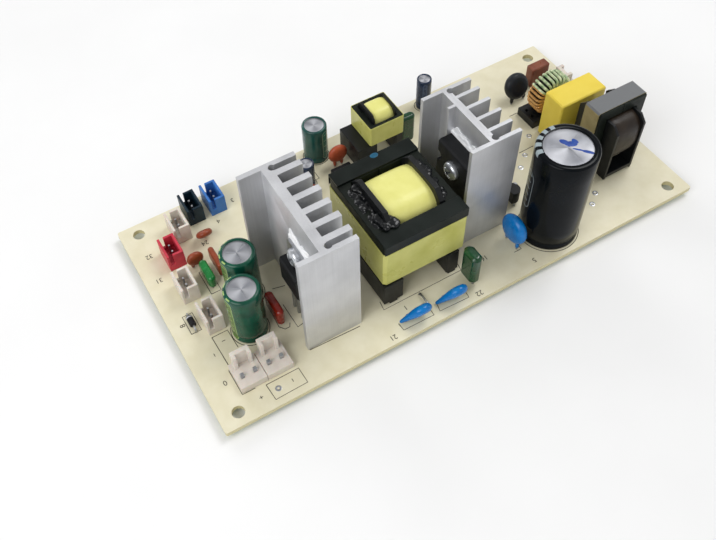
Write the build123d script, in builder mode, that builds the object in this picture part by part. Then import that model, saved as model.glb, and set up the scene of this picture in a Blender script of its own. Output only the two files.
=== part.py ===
from build123d import *
import math
import os

# Open-frame power supply board with two comb heatsinks and two tape-wrapped transformers.
# Millimetres. +X runs along the board, +Z up, origin under the board's centre at the
# solder tips that it stands on. Positions are measured from the board's front left corner.

# Board
board_width = 80.0
board_thickness = 1.6
board_corner_radius = 0.6
mounting_hole_radius = 1.9
mounting_inset_x = 5.8
mounting_inset_y = 4.2
header_zone = 31.6
sink_to_transformer = 8.95
transformer_to_sink = 4.05
sink_to_bulk = 1.0
bulk_to_filter = 14.5
filter_to_edge = 6.6

# Leads and solder
solder_drop = 1.8
solder_pad_width = 1.5
solder_wide_width = 2.0
solder_tip_width = 0.7
lead_radius = 0.36
lead_clearance = 0.12
pin_side = 0.64
pin_clearance = 0.1
leg_clearance = 0.12
lead_sides = 4

# Heatsinks, comb extrusions with a bay for the power package on the left of the spine
sink_height = 40.5
sink_leg_radius = 0.8
sink_leg_inset = 2.6
screw_channel_radius = 1.05
screw_channel_inset = 0.6
left_sink_x = header_zone
left_sink_y = 11.15
left_sink_width = 17.6
left_sink_depth = 35.0
left_bay = 6.8
left_spine = 3.0
left_plate = 1.6
left_fin = 2.0
left_fin_pitch = 5.24
left_fin_count = 6
right_sink_y = 19.4
right_sink_width = 16.5
right_sink_depth = 25.0
right_bay = 6.6
right_spine = 2.2
right_plate = 1.2
right_fin = 1.1
right_fin_pitch = 5.1
right_fin_count = 4
bay_rib_length = 2.3
bay_rib_thickness = 0.9
bay_rib_from_back = 7.3

# Clamped power packages
pad_thickness = 0.3
rectifier_y = 24.0
rectifier_width = 10.2
rectifier_body_height = 9.2
rectifier_body_thickness = 4.5
rectifier_body_bottom = 13.4
rectifier_tab_thickness = 1.3
rectifier_tab_top = 29.3
rectifier_hole_radius = 1.85
rectifier_hole_drop = 2.9
rectifier_lead_pitch = 2.54
rectifier_lead_setback = 2.6
rectifier_corner = 0.8
rectifier_front_bevel = 0.5
switch_y = 28.75
switch_width = 15.4
switch_height = 20.8
switch_thickness = 4.9
switch_bottom = 9.8
switch_hole_radius = 1.8
switch_hole_drop = 6.2
switch_lead_pitch = 5.45
switch_front_bevel = 0.6
package_lead_width = 1.0
package_lead_thickness = 0.6
screw_head_radius = 2.9
screw_head_height = 2.1
screw_shank_radius = 1.45
screw_end_gap = 0.3
screw_hole_clearance = 0.1
screw_shank_sides = 12
screw_recess_width = 0.8
screw_recess_length = 3.2
screw_recess_depth = 1.0

# Main transformer, a horizontal E core pair with its winding along X
main_y = 28.4
main_core_length = 27.2
main_core_depth = 30.4
main_core_height = 17.2
main_core_bottom = 9.8
main_core_leg = 5.2
main_core_yoke = 4.2
main_centre_leg = 8.4
main_core_bevel = 0.7
main_winding_length = 15.2
main_winding_rise = 2.3
main_flange = 1.6
main_flange_rise = 1.2
main_tube_wall = 0.8
main_tape_height = 13.8
main_tape_thickness = 0.25
main_rail_widths = (6.4, 4.0)
main_rail_lift = 1.0
main_rail_overhang = 0.8
main_foot_side = 2.6
main_pin_count = 4
main_pin_pitch = 5.0

# Small transformer, the same build at a smaller size
small_x = 88.85
small_from_back = 13.0
small_core_length = 12.2
small_core_depth = 12.2
small_core_height = 7.6
small_core_bottom = 10.2
small_core_leg = 1.1
small_core_yoke = 1.7
small_centre_leg = 3.2
small_core_bevel = 0.3
small_winding_length = 7.2
small_winding_rise = 2.4
small_flange = 0.6
small_flange_rise = 0.5
small_tube_wall = 0.5
small_tape_height = 7.5
small_tape_thickness = 0.2
small_rail_widths = (7.0, 2.4)
small_rail_lift = 1.6
small_foot_side = 1.8
small_pin_count = 3
small_pin_pitch = 2.54
coil_corner_share = 0.5
flange_corner_share = 0.3
bobbin_gap = 0.25
core_glue_line = 0.1

# Line filter at the right end, a two-chamber bobbin on a closed core, and the toroid choke
filter_y = 25.4
filter_core_length = 18.0
filter_core_depth = 23.0
filter_core_height = 6.6
filter_core_bottom = 2.6
filter_core_leg = 3.4
filter_core_yoke = 3.2
filter_centre_leg = 6.0
filter_core_bevel = 0.4
filter_winding_length = 9.4
filter_winding_rise = 5.0
filter_flange = 0.9
filter_flange_rise = 0.3
filter_tube_wall = 0.7
filter_tape_height = 6.0
filter_tape_thickness = 0.25
filter_foot_lift = 0.6
filter_base_height = 1.4
filter_pin_pitch = 10.0
toroid_from_right = 17.6
toroid_y = 51.0
toroid_radius = 6.4
toroid_bore_radius = 3.6
toroid_width = 4.6
toroid_sides = 24
toroid_wire = 0.8
toroid_turn_gap = 0.1
toroid_turns = 7
toroid_turn_step = 20.0
toroid_copper_angle = 200.0
toroid_green_angle = 40.0
toroid_tail_pitch = 3.2
toroid_base_length = 17.0
toroid_base_width = 8.4
toroid_base_height = 3.0
toroid_cradle_depth = 1.2
toroid_cradle_gap = 0.15

# Electrolytic capacitors: a sealed can in a shrunk sleeve
sleeve_wall = 0.35
sleeve_clearance = 0.05
sleeve_curl_share = 0.2
can_sides = 32
small_can_sides = 24
bulk_radius = 9.0
bulk_height = 36.0
bulk_y = 11.0
bulk_lead_pitch = 7.5
output_radius = 5.3
output_height = 20.9
output_lead_pitch = 5.0
output_spots = ((20.6, 26.3), (25.0, 38.0))
teal_radius = 4.1
teal_height = 14.4
teal_x = 70.2
teal_from_back = 4.6
teal_lead_pitch = 3.5
navy_radius = 2.5
navy_height = 12.4
navy_x = 113.1
navy_from_back = 4.0
dark_radius = 2.6
dark_height = 10.0
dark_x = 61.6
dark_from_back = 14.2
small_can_lead_pitch = 2.5
vent_depth = 0.25
vent_width = 0.5
vent_share = 0.62
vent_arms = 3

# Film and disc capacitors
mains_film_length = 17.6
mains_film_width = 8.6
mains_film_height = 18.0
mains_film_from_right = 16.8
mains_film_y = 40.7
mains_film_lead_pitch = 15.0
brown_box_length = 7.4
brown_box_width = 3.6
brown_box_height = 8.0
brown_box_from_right = 11.1
brown_box_from_back = 15.3
brown_box_lead_pitch = 5.0
box_foot = 0.5
box_foot_side = 0.9
box_bevel = 0.4
dip_corner_share = 0.3
dip_bevel_share = 0.22
dip_lead_pitch = 5.0
dip_lift = 0.9
skirt_radius = 0.6
skirt_length = 0.7
skirt_overlap = 0.9
red_film_size = (2.5, 9.0, 6.4)
red_film_spot = (29.0, 25.9)
brown_film_size = (1.8, 8.4, 5.4)
brown_film_spot = (21.7, 50.3)
green_dip_size = (2.5, 8.4, 4.8)
green_dip_spot = (17.6, 47.7)
front_film_size = (3.6, 6.4, 11.6)
front_film_from_transformer = 12.65
front_film_y = 7.6
back_film_size = (3.0, 5.8, 11.4)
back_film_spot = (98.3, 15.8)
film_lead_pitch = 3.5
disc_sides = 12
disc_bevel_share = 0.32
blue_disc_radius = 4.3
blue_disc_thickness = 3.0
blue_disc_lead_pitch = 5.0
blue_disc_lift = 0.4
blue_disc_lean = 27.0
blue_disc_y = 5.2
blue_disc_places = (-8.15, 4.15)
side_disc_radius = 5.0
side_disc_thickness = 4.0
side_disc_lift = 2.0
side_disc_from_bulk = 3.9
side_disc_y = 11.8
orange_disc_radius = 3.4
orange_disc_thickness = 2.6
orange_disc_lift = 1.6
orange_disc_spot = (74.3, 12.2)
brown_disc_radius = 2.7
brown_disc_thickness = 2.3
brown_disc_spots = ((16.7, 55.0), (59.4, 60.0))
leaning_disc_spot = (23.2, 64.4)
leaning_disc_lean = 42.0
small_disc_lift = 0.6
small_disc_lead_pitch = 2.5
thermistor_radius = 4.6
thermistor_thickness = 4.2
thermistor_lead_pitch = 5.0
thermistor_lift = 1.4
thermistor_lean = -25.0
thermistor_from_right = 22.3
thermistor_from_back = 19.7

# Wire headers: open-topped boxes round two pins, and bases with a tall latch wall
header_length = 8.2
header_depth = 5.4
header_height = 6.9
header_wall = 0.8
header_floor = 1.6
header_slot_width = 1.2
header_slot_depth = 4.2
header_pin_pitch = 2.5
header_pin_rise = 5.6
white_header_spots = ((12.1, 34.3), (10.3, 47.8), (17.4, 69.6))
red_header_spot = (11.6, 61.2)
black_header_spot = (24.1, 74.2)
blue_header_spot = (31.7, 74.2)
latch_header_x = 17.4
latch_header_y = 12.9
latch_header_width = 8.1
latch_header_depth = 8.8
latch_header_height = 8.4
latch_header_gap = 0.15
latch_base_height = 2.7
latch_wall_width = 5.6
latch_wall_depth = 2.6
latch_recess_width = 3.4
latch_recess_depth = 1.3
latch_pin_pitch = 3.96
latch_pin_side = 1.1
latch_pin_rise = 4.0
latch_pin_inset = 3.4
mains_header_from_right = 4.4
mains_header_from_back = 22.8
mains_header_width = 9.6
mains_header_depth = 5.8
mains_pin_inset = 2.2

# Small parts
coupler_spot = (73.0, 18.0)
coupler_length = 4.6
coupler_height = 3.5
coupler_lift = 0.5
coupler_lead_pitch = 2.54
coupler_row_pitch = 7.62
coupler_bevel = 0.4
regulator_from_sink = 6.7
regulator_y = 25.2
regulator_radius = 2.4
regulator_height = 4.6
regulator_lift = 1.6
regulator_flat = 1.3
regulator_lead_pitch = 1.9
axial_sides = 12
axial_lift = 0.3
axial_lead_overhang = 1.5
diode_radius = 1.0
diode_length = 3.6
diode_spot = (6.6, 36.8)
resistor_radius = 1.1
resistor_length = 4.4
resistor_spot = (85.8, 23.6)
link_length = 5.0
link_rise = 0.9
link_from_transformer = -2.95
link_y = 8.2

board_top = solder_drop + board_thickness
main_x = left_sink_x + left_sink_width + sink_to_transformer + main_core_length / 2
right_sink_x = main_x + main_core_length / 2 + transformer_to_sink
bulk_x = right_sink_x + right_sink_width + sink_to_bulk + bulk_radius
filter_x = bulk_x + bulk_radius + bulk_to_filter + filter_core_length / 2
board_length = filter_x + filter_core_length / 2 + filter_to_edge
lead_runs = []
pin_spots = []
blade_spots = []
post_spots = []
leg_spots = []


def spot(from_left, from_front):
    """A place on the board in the part's own frame, from the front left corner."""
    return from_left - board_length / 2, from_front - board_width / 2


def from_right(distance):
    """A distance from the right edge as one from the left edge."""
    return board_length - distance


def from_back(distance):
    """A distance from the back edge as one from the front edge."""
    return board_width - distance


def along_x(centre, pitch, count=2):
    """A row of lead places along the board, about a centre."""
    return [(centre[0] + (i - (count - 1) / 2) * pitch, centre[1]) for i in range(count)]


def along_y(centre, pitch, count=2):
    """A row of lead places across the board, about a centre."""
    return [(centre[0], centre[1] + (i - (count - 1) / 2) * pitch) for i in range(count)]


def wire_leads(places, lift=0.0):
    """Notes straight leads that run down through the board from a height above it."""
    lead_runs.append((places, board_top + lift))


def save(piece, name):
    """Labels a finished piece and writes its STEP file."""
    piece.part.label = name
    export_step(piece.part, f"parts/{name}.step")


def save_copies(name, placed):
    """Writes copies of templates, each at its own location, as one piece."""
    with BuildPart() as group:
        for location, template in placed:
            with Locations(location):
                add(template.part)
    save(group, name)


def standing(centre, turn=0.0):
    """The location on top of the board at a centre, turned about the upright axis."""
    return Location((*centre, board_top), (0, 0, turn))


os.makedirs("parts", exist_ok=True)

# Heatsinks


def comb_heatsink(corner, width, depth, bay, spine, plate, fin, pitch, count, screw, rib=None):
    """One comb extrusion: end plates, a spine, fins on its right and a bay on its left.

    The screw is the clamping screw's place: its distance across and its height.
    """
    left, front = corner
    spine_left = left + bay
    spine_right = spine_left + spine
    fin_length = left + width - spine_right
    middle = front + depth / 2
    inner_front = front + plate
    inner_back = front + depth - plate
    leg_x = spine_left + spine / 2
    legs = [(leg_x, front + sink_leg_inset), (leg_x, front + depth - sink_leg_inset)]
    with BuildPart() as sink:
        with BuildSketch(Plane.XY.offset(board_top)):
            with Locations((left + width / 2, middle)):
                Rectangle(width, depth)
            with Locations((left + bay / 2, middle)):
                Rectangle(bay, depth - 2 * plate, mode=Mode.SUBTRACT)
            with Locations((spine_right + fin_length / 2, middle)):
                Rectangle(fin_length, depth - 2 * plate, mode=Mode.SUBTRACT)
                with GridLocations(0, pitch, 1, count):
                    Rectangle(fin_length, fin)
            with Locations((spine_right, inner_front + screw_channel_inset),
                           (spine_right, inner_back - screw_channel_inset)):
                Circle(screw_channel_radius, mode=Mode.SUBTRACT)
            if rib is not None:
                with Locations((spine_left - bay_rib_length / 2, rib)):
                    Rectangle(bay_rib_length, bay_rib_thickness)
        extrude(amount=sink_height)
        with BuildSketch(Plane((spine_left, *screw), z_dir=(1, 0, 0))):
            Circle(screw_shank_radius + screw_hole_clearance)
        extrude(amount=spine, mode=Mode.SUBTRACT)
        with BuildSketch(Plane.XY.offset(board_top)):
            with Locations(*legs):
                RegularPolygon(sink_leg_radius, lead_sides)
        extrude(amount=-board_thickness)
    leg_spots.extend(legs)
    return sink


rectifier_back, rectifier_middle = spot(left_sink_x + left_bay - pad_thickness, rectifier_y)
rectifier_screw_z = board_top + rectifier_tab_top - rectifier_hole_drop
switch_back, switch_middle = spot(right_sink_x + right_bay - pad_thickness, switch_y)
switch_screw_z = board_top + switch_bottom + switch_height - switch_hole_drop

left_heatsink = comb_heatsink(
    spot(left_sink_x, left_sink_y), left_sink_width, left_sink_depth, left_bay, left_spine,
    left_plate, left_fin, left_fin_pitch, left_fin_count,
    screw=(rectifier_middle, rectifier_screw_z))
save(left_heatsink, "left_heatsink")

right_heatsink = comb_heatsink(
    spot(right_sink_x, right_sink_y), right_sink_width, right_sink_depth, right_bay,
    right_spine, right_plate, right_fin, right_fin_pitch, right_fin_count,
    screw=(switch_middle, switch_screw_z),
    rib=spot(0, right_sink_y + right_sink_depth - bay_rib_from_back)[1])
save(right_heatsink, "right_heatsink")

# Clamped power packages, which face left from the spines


def facing_left(x, y, z):
    """A plane that faces -X: its own x runs towards the board's front and its y up."""
    return Plane((x, y, z), x_dir=(0, -1, 0), z_dir=(-1, 0, 0))


def blade_leads(places, top):
    """Flat leads from under a package down through the board, as one piece."""
    with BuildPart() as blades:
        with BuildSketch(Plane.XY.offset(solder_drop)):
            with Locations(*places):
                Rectangle(package_lead_thickness, package_lead_width)
        extrude(amount=top - solder_drop)
    blade_spots.extend(places)
    return blades


rectifier_places = along_y(
    (rectifier_back - rectifier_lead_setback, rectifier_middle), rectifier_lead_pitch, 3)
rectifier_blades = blade_leads(rectifier_places, board_top + rectifier_body_bottom)
tab_height = rectifier_tab_top - rectifier_body_bottom
tab_middle = board_top + rectifier_tab_top - tab_height / 2
with BuildPart() as rectifier_tab:
    with BuildSketch(facing_left(rectifier_back, rectifier_middle, tab_middle)):
        Rectangle(rectifier_width, tab_height)
        with Locations((0, rectifier_screw_z - tab_middle)):
            Circle(rectifier_hole_radius, mode=Mode.SUBTRACT)
    extrude(amount=rectifier_tab_thickness)
    chamfer(rectifier_tab.edges().filter_by(Axis.X).group_by(Axis.Z)[-1], rectifier_corner)
    add(rectifier_blades.part)
save(rectifier_tab, "rectifier_tab")

with BuildPart() as rectifier_body:
    with BuildSketch(facing_left(
            rectifier_back - rectifier_tab_thickness, rectifier_middle,
            board_top + rectifier_body_bottom + rectifier_body_height / 2)):
        Rectangle(rectifier_width, rectifier_body_height)
    extrude(amount=rectifier_body_thickness - rectifier_tab_thickness)
    chamfer(rectifier_body.faces().sort_by(Axis.X)[0].edges(), rectifier_front_bevel)
save(rectifier_body, "rectifier_body")

switch_places = along_y(
    (switch_back - switch_thickness / 2, switch_middle), switch_lead_pitch, 3)
power_switch_leads = blade_leads(switch_places, board_top + switch_bottom)
save(power_switch_leads, "power_switch_leads")

switch_centre_z = board_top + switch_bottom + switch_height / 2
screw_row = switch_screw_z - switch_centre_z
with BuildPart() as power_switch_body:
    with BuildSketch(facing_left(switch_back, switch_middle, switch_centre_z)):
        Rectangle(switch_width, switch_height)
        with Locations((-switch_width / 2, screw_row), (0, screw_row),
                       (switch_width / 2, screw_row)):
            Circle(switch_hole_radius, mode=Mode.SUBTRACT)
    extrude(amount=switch_thickness)
    front_edges = power_switch_body.faces().sort_by(Axis.X)[0].edges()
    chamfer(front_edges.filter_by(GeomType.LINE).group_by(Axis.Z)[-1], switch_front_bevel)
save(power_switch_body, "power_switch_body")


def thermal_pad(back, middle, width, bottom, top, screw_z, hole_radius):
    """A thin pad between a package and its spine, with the screw's hole."""
    centre = board_top + (bottom + top) / 2
    with BuildPart() as pad:
        with BuildSketch(facing_left(back + pad_thickness, middle, centre)):
            Rectangle(width, top - bottom)
            with Locations((0, screw_z - centre)):
                RegularPolygon(hole_radius, screw_shank_sides, mode=Mode.SUBTRACT)
        extrude(amount=pad_thickness)
    return pad


rectifier_pad = thermal_pad(
    rectifier_back, rectifier_middle, rectifier_width, rectifier_body_bottom,
    rectifier_tab_top, rectifier_screw_z, rectifier_hole_radius)
switch_pad = thermal_pad(
    switch_back, switch_middle, switch_width, switch_bottom,
    switch_bottom + switch_height, switch_screw_z, switch_hole_radius)
save_copies("thermal_pads", [(Location(), rectifier_pad), (Location(), switch_pad)])


def clamp_screw(grip, spine):
    """A pan-head screw along +X, with its origin on the seat under its head."""
    with BuildPart() as screw:
        with BuildSketch(Plane.YZ):
            Circle(screw_head_radius)
        extrude(amount=-screw_head_height)
        with BuildSketch(Plane.YZ.offset(-screw_head_height)):
            Rectangle(screw_recess_length, screw_recess_width)
            Rectangle(screw_recess_width, screw_recess_length)
        extrude(amount=screw_recess_depth, mode=Mode.SUBTRACT)
        with BuildSketch(Plane.YZ):
            RegularPolygon(screw_shank_radius, screw_shank_sides)
        extrude(amount=grip + pad_thickness + spine - screw_end_gap)
    return screw


save_copies("clamp_screws", [
    ((rectifier_back - rectifier_tab_thickness, rectifier_middle, rectifier_screw_z),
     clamp_screw(rectifier_tab_thickness, left_spine)),
    ((switch_back - switch_thickness, switch_middle, switch_screw_z),
     clamp_screw(switch_thickness, right_spine))])

# Wound parts. Each set is drawn about its own centre, x along the winding, y across the
# core's legs and z through the core's thickness, and is then placed on the board.


def e_core_pair(length, depth, height, leg, yoke, centre_leg, bevel):
    """Two E halves that meet at a thin glue line in the middle of the winding."""
    window = (depth - centre_leg) / 2 - leg
    tongue = (length - core_glue_line) / 2 - yoke
    with BuildPart() as core:
        with BuildSketch(Plane.XY.offset(-height / 2)):
            with Locations(((core_glue_line + tongue + yoke) / 2, 0)):
                Rectangle(tongue + yoke, depth)
            with Locations(((core_glue_line + tongue) / 2, 0)):
                with GridLocations(0, centre_leg + window, 1, 2):
                    Rectangle(tongue, window, mode=Mode.SUBTRACT)
        extrude(amount=height)
        chamfer(core.edges().filter_by(Axis.Z).group_by(Axis.X)[-1], bevel)
        mirror(about=Plane.YZ)
    return core


def coil_size(depth, height, leg, rise):
    """The winding's width across the legs and its height."""
    return depth - 2 * leg - 4 * bobbin_gap, height + 2 * rise


def tube_size(centre_leg, height, wall):
    """The outer width and height of the bobbin's tube round the core's centre leg."""
    room = 2 * (bobbin_gap + wall)
    return centre_leg + room, height + room


def coil(depth, height, leg, centre_leg, rise, wall, length, rounded=False):
    """The winding, a ring round the bobbin's tube with its corners rounded or cut."""
    outer = coil_size(depth, height, leg, rise)
    corner = coil_corner_share * min(outer) / 2
    with BuildPart() as winding:
        with BuildSketch(Plane.YZ) as ring:
            Rectangle(*outer)
            if rounded:
                fillet(ring.vertices(), corner)
            else:
                chamfer(ring.vertices(), corner)
            Rectangle(*tube_size(centre_leg, height, wall), mode=Mode.SUBTRACT)
        extrude(amount=length / 2, both=True)
    return winding


def bobbin(depth, height, leg, centre_leg, rise, wall, length, flange, flange_rise):
    """A tube with a flange at each end of the winding, its corners cut."""
    coil_width, coil_height = coil_size(depth, height, leg, rise)
    outer = (coil_width + 2 * bobbin_gap, coil_height + 2 * flange_rise)
    with BuildPart() as former:
        with BuildSketch(Plane.YZ.offset(length / 2)) as flange_face:
            Rectangle(*outer)
            chamfer(flange_face.vertices(), flange_corner_share * min(outer) / 2)
        extrude(amount=flange)
        mirror(about=Plane.YZ)
        with BuildSketch(Plane.YZ):
            Rectangle(*tube_size(centre_leg, height, wall))
        extrude(amount=length / 2, both=True)
        with BuildSketch(Plane.YZ):
            Rectangle(centre_leg + 2 * bobbin_gap, height + 2 * bobbin_gap)
        extrude(amount=length / 2 + flange, both=True, mode=Mode.SUBTRACT)
    return former


def core_tape(length, depth, height, bevel, tape_height, thickness):
    """The tape that ties the core halves, flush with the core's lower face."""
    with BuildPart() as band:
        with BuildSketch(Plane.XY.offset(-height / 2)):
            with BuildSketch(mode=Mode.PRIVATE) as outline:
                Rectangle(length, depth)
                chamfer(outline.vertices(), bevel)
            add(outline.sketch)
            offset(amount=thickness, kind=Kind.INTERSECTION)
            add(outline.sketch, mode=Mode.SUBTRACT)
        extrude(amount=tape_height)
    return band


def rail_middles(length, widths):
    """The middle of each pin rail along the winding, the left one first."""
    left, right = widths
    return -(length + left) / 2, (length + right) / 2


def pin_rails(former, depth, height, bottom, length, widths, lift, foot):
    """A bobbin with a pin rail at each end, under the core, and feet at the rails' ends."""
    underside = -height / 2 - bobbin_gap
    rail_height = bottom - bobbin_gap - lift
    with BuildPart() as railed:
        add(former.part)
        for middle, width in zip(rail_middles(length, widths), widths):
            with BuildSketch(Plane.XY.offset(underside)):
                with Locations((middle, 0)):
                    Rectangle(width, depth)
            extrude(amount=-rail_height)
            with BuildSketch(Plane.XY.offset(underside - rail_height)):
                with Locations(*along_y((middle, 0), depth - foot)):
                    Rectangle(foot, foot)
            extrude(amount=-lift)
    return railed


def square_pins(places, lift, side=pin_side):
    """Square pins that run down through the board from a height above it."""
    with BuildPart() as pins:
        with BuildSketch(Plane.XY.offset(solder_drop)):
            with Locations(*places):
                Rectangle(side, side)
        extrude(amount=board_thickness + lift)
    return pins


def rail_places(centre, length, widths, pitch, count):
    """The pin places under both rails of a transformer."""
    return [place for middle in rail_middles(length, widths)
            for place in along_y((centre[0] + middle, centre[1]), pitch, count)]


main_centre = spot(main_x, main_y)
main_location = Location((*main_centre, board_top + main_core_bottom + main_core_height / 2))
save_copies("main_transformer_core", [(main_location, e_core_pair(
    main_core_length, main_core_depth, main_core_height, main_core_leg, main_core_yoke,
    main_centre_leg, main_core_bevel))])
save_copies("main_transformer_winding", [(main_location, coil(
    main_core_depth, main_core_height, main_core_leg, main_centre_leg, main_winding_rise,
    main_tube_wall, main_winding_length, rounded=True))])
main_former = bobbin(
    main_core_depth, main_core_height, main_core_leg, main_centre_leg, main_winding_rise,
    main_tube_wall, main_winding_length, main_flange, main_flange_rise)
save_copies("main_transformer_bobbin", [(main_location, pin_rails(
    main_former, main_core_depth + 2 * main_rail_overhang, main_core_height,
    main_core_bottom, main_winding_length, main_rail_widths, main_rail_lift,
    main_foot_side))])
save_copies("main_transformer_tape", [(main_location, core_tape(
    main_core_length, main_core_depth, main_core_height, main_core_bevel,
    main_tape_height, main_tape_thickness))])
main_pin_places = rail_places(
    main_centre, main_winding_length, main_rail_widths, main_pin_pitch, main_pin_count)
pin_spots.extend(main_pin_places)
save(square_pins(main_pin_places, main_rail_lift), "main_transformer_pins")

small_centre = spot(small_x, from_back(small_from_back))
small_location = Location(
    (*small_centre, board_top + small_core_bottom + small_core_height / 2))
save_copies("small_transformer_core", [(small_location, e_core_pair(
    small_core_length, small_core_depth, small_core_height, small_core_leg,
    small_core_yoke, small_centre_leg, small_core_bevel))])
save_copies("small_transformer_winding", [(small_location, coil(
    small_core_depth, small_core_height, small_core_leg, small_centre_leg,
    small_winding_rise, small_tube_wall, small_winding_length, rounded=True))])
small_former = bobbin(
    small_core_depth, small_core_height, small_core_leg, small_centre_leg,
    small_winding_rise, small_tube_wall, small_winding_length, small_flange,
    small_flange_rise)
save_copies("small_transformer_bobbin", [(small_location, pin_rails(
    small_former, small_core_depth, small_core_height, small_core_bottom,
    small_winding_length, small_rail_widths, small_rail_lift, small_foot_side))])
save_copies("small_transformer_tape", [(small_location, core_tape(
    small_core_length, small_core_depth, small_core_height, small_core_bevel,
    small_tape_height, small_tape_thickness))])
small_pin_places = rail_places(
    small_centre, small_winding_length, small_rail_widths, small_pin_pitch,
    small_pin_count)
pin_spots.extend(small_pin_places)
save(square_pins(small_pin_places, small_rail_lift), "small_transformer_pins")

# Line filter: the same kind of set stood on edge, so that its core's plane is upright

filter_centre = spot(filter_x, filter_y)
filter_axis_z = board_top + filter_core_bottom + filter_core_depth / 2
filter_location = Plane(
    (*filter_centre, filter_axis_z), x_dir=(1, 0, 0), z_dir=(0, -1, 0)).location
save_copies("line_filter_core", [(filter_location, e_core_pair(
    filter_core_length, filter_core_depth, filter_core_height, filter_core_leg,
    filter_core_yoke, filter_centre_leg, filter_core_bevel))])
save_copies("line_filter_winding", [(filter_location, coil(
    filter_core_depth, filter_core_height, filter_core_leg, filter_centre_leg,
    filter_winding_rise, filter_tube_wall, filter_winding_length))])
save_copies("line_filter_tape", [(filter_location, core_tape(
    filter_core_length, filter_core_depth, filter_core_height, filter_core_bevel,
    filter_tape_height, filter_tape_thickness))])
filter_former = bobbin(
    filter_core_depth, filter_core_height, filter_core_leg, filter_centre_leg,
    filter_winding_rise, filter_tube_wall, filter_winding_length, filter_flange,
    filter_flange_rise)
cheek_outer = filter_core_height / 2 + filter_winding_rise + filter_flange_rise
cheek_inner = filter_core_height / 2 + bobbin_gap
cheek_spacing = cheek_outer + cheek_inner
base_length = filter_winding_length + 2 * filter_flange
with BuildPart() as line_filter_bobbin:
    with Locations(filter_location):
        add(filter_former.part)
    with BuildSketch(Plane((*filter_centre, board_top + filter_foot_lift))):
        with GridLocations(base_length - filter_flange, cheek_spacing, 2, 2):
            Rectangle(filter_flange, cheek_outer - cheek_inner)
    extrude(amount=filter_axis_z - board_top - filter_foot_lift)
    with BuildSketch(Plane((*filter_centre, board_top + filter_foot_lift))):
        with GridLocations(0, cheek_spacing, 1, 2):
            Rectangle(base_length, cheek_outer - cheek_inner)
    extrude(amount=filter_base_height)
    with BuildSketch(Plane((*filter_centre, board_top))):
        with GridLocations(base_length - filter_flange, cheek_spacing, 2, 2):
            Rectangle(filter_flange, cheek_outer - cheek_inner)
    extrude(amount=filter_foot_lift)
save(line_filter_bobbin, "line_filter_bobbin")
filter_pin_row = filter_pin_pitch - 2 * filter_flange
filter_pin_places = [place for rail in along_x(filter_centre, filter_pin_row)
                     for place in along_y(rail, cheek_spacing)]
pin_spots.extend(filter_pin_places)
save(square_pins(filter_pin_places, filter_foot_lift), "line_filter_pins")

# Toroid choke, standing in the cradle of its base

toroid_centre = spot(from_right(toroid_from_right), toroid_y)
coil_radius = toroid_radius + toroid_turn_gap + toroid_wire
cradle_radius = coil_radius + toroid_cradle_gap
toroid_z = board_top + toroid_base_height - toroid_cradle_depth + cradle_radius
toroid_plane = Plane((*toroid_centre, toroid_z), x_dir=(1, 0, 0), z_dir=(0, -1, 0))
tail_x = toroid_radius + toroid_turn_gap + toroid_wire / 2
tail_pairs = [along_y((toroid_centre[0] + side, toroid_centre[1]), toroid_tail_pitch)
              for side in (-tail_x, tail_x)]
with BuildPart() as toroid_core:
    with BuildSketch(toroid_plane.offset(-toroid_width / 2)):
        RegularPolygon(toroid_radius, toroid_sides)
        RegularPolygon(toroid_bore_radius, toroid_sides, mode=Mode.SUBTRACT)
    extrude(amount=toroid_width)
save(toroid_core, "toroid_core")


def toroid_winding(middle_angle, tails):
    """Squared turns of wire over one side of the ring, with two tails to the board."""
    first = middle_angle - (toroid_turns - 1) / 2 * toroid_turn_step
    turn_depth = toroid_radius - toroid_bore_radius + 2 * toroid_turn_gap
    turn_width = toroid_width + 2 * toroid_turn_gap
    with BuildPart() as turn:
        with BuildSketch(Plane.XZ):
            Rectangle(turn_depth + 2 * toroid_wire, turn_width + 2 * toroid_wire)
            Rectangle(turn_depth, turn_width, mode=Mode.SUBTRACT)
        extrude(amount=toroid_wire / 2, both=True)
    with BuildPart(toroid_plane) as winding:
        with PolarLocations((toroid_radius + toroid_bore_radius) / 2, toroid_turns,
                            start_angle=first,
                            angular_range=toroid_turns * toroid_turn_step):
            add(turn.part)
        with BuildSketch(Plane.XY.offset(solder_drop)):
            with Locations(*tails):
                Rectangle(toroid_wire, toroid_wire)
        extrude(amount=toroid_z - solder_drop)
    return winding


for tails, angle, name in (
        (tail_pairs[0], toroid_copper_angle, "toroid_copper_winding"),
        (tail_pairs[1], toroid_green_angle, "toroid_green_winding")):
    save(toroid_winding(angle, tails), name)
pin_spots.extend(tail_pairs[0] + tail_pairs[1])

with BuildPart() as toroid_base:
    with BuildSketch(Plane((*toroid_centre, board_top))):
        Rectangle(toroid_base_length, toroid_base_width)
    extrude(amount=toroid_base_height)
    with BuildSketch(toroid_plane):
        Circle(cradle_radius)
    extrude(amount=toroid_base_width / 2, both=True, mode=Mode.SUBTRACT)
    with BuildSketch(Plane.XY.offset(board_top)):
        with Locations(*tail_pairs[0], *tail_pairs[1]):
            Rectangle(toroid_wire + 2 * pin_clearance, toroid_wire + 2 * pin_clearance)
    extrude(amount=toroid_base_height, mode=Mode.SUBTRACT)
save(toroid_base, "toroid_base")

# Electrolytic capacitors


def capacitor_can(radius, height, vented=True, sides=small_can_sides):
    """A sealed can that fills its sleeve, with a scored vent in the top of a wider one."""
    with BuildPart() as can:
        with BuildSketch():
            RegularPolygon(radius - sleeve_wall - sleeve_clearance, sides)
        extrude(amount=height - sleeve_wall)
        if vented:
            with BuildSketch(Plane.XY.offset(height - sleeve_wall)):
                with PolarLocations(0, vent_arms):
                    Rectangle(radius * vent_share, vent_width,
                              align=(Align.MIN, Align.CENTER))
            extrude(amount=-vent_depth, mode=Mode.SUBTRACT)
    return can


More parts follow.
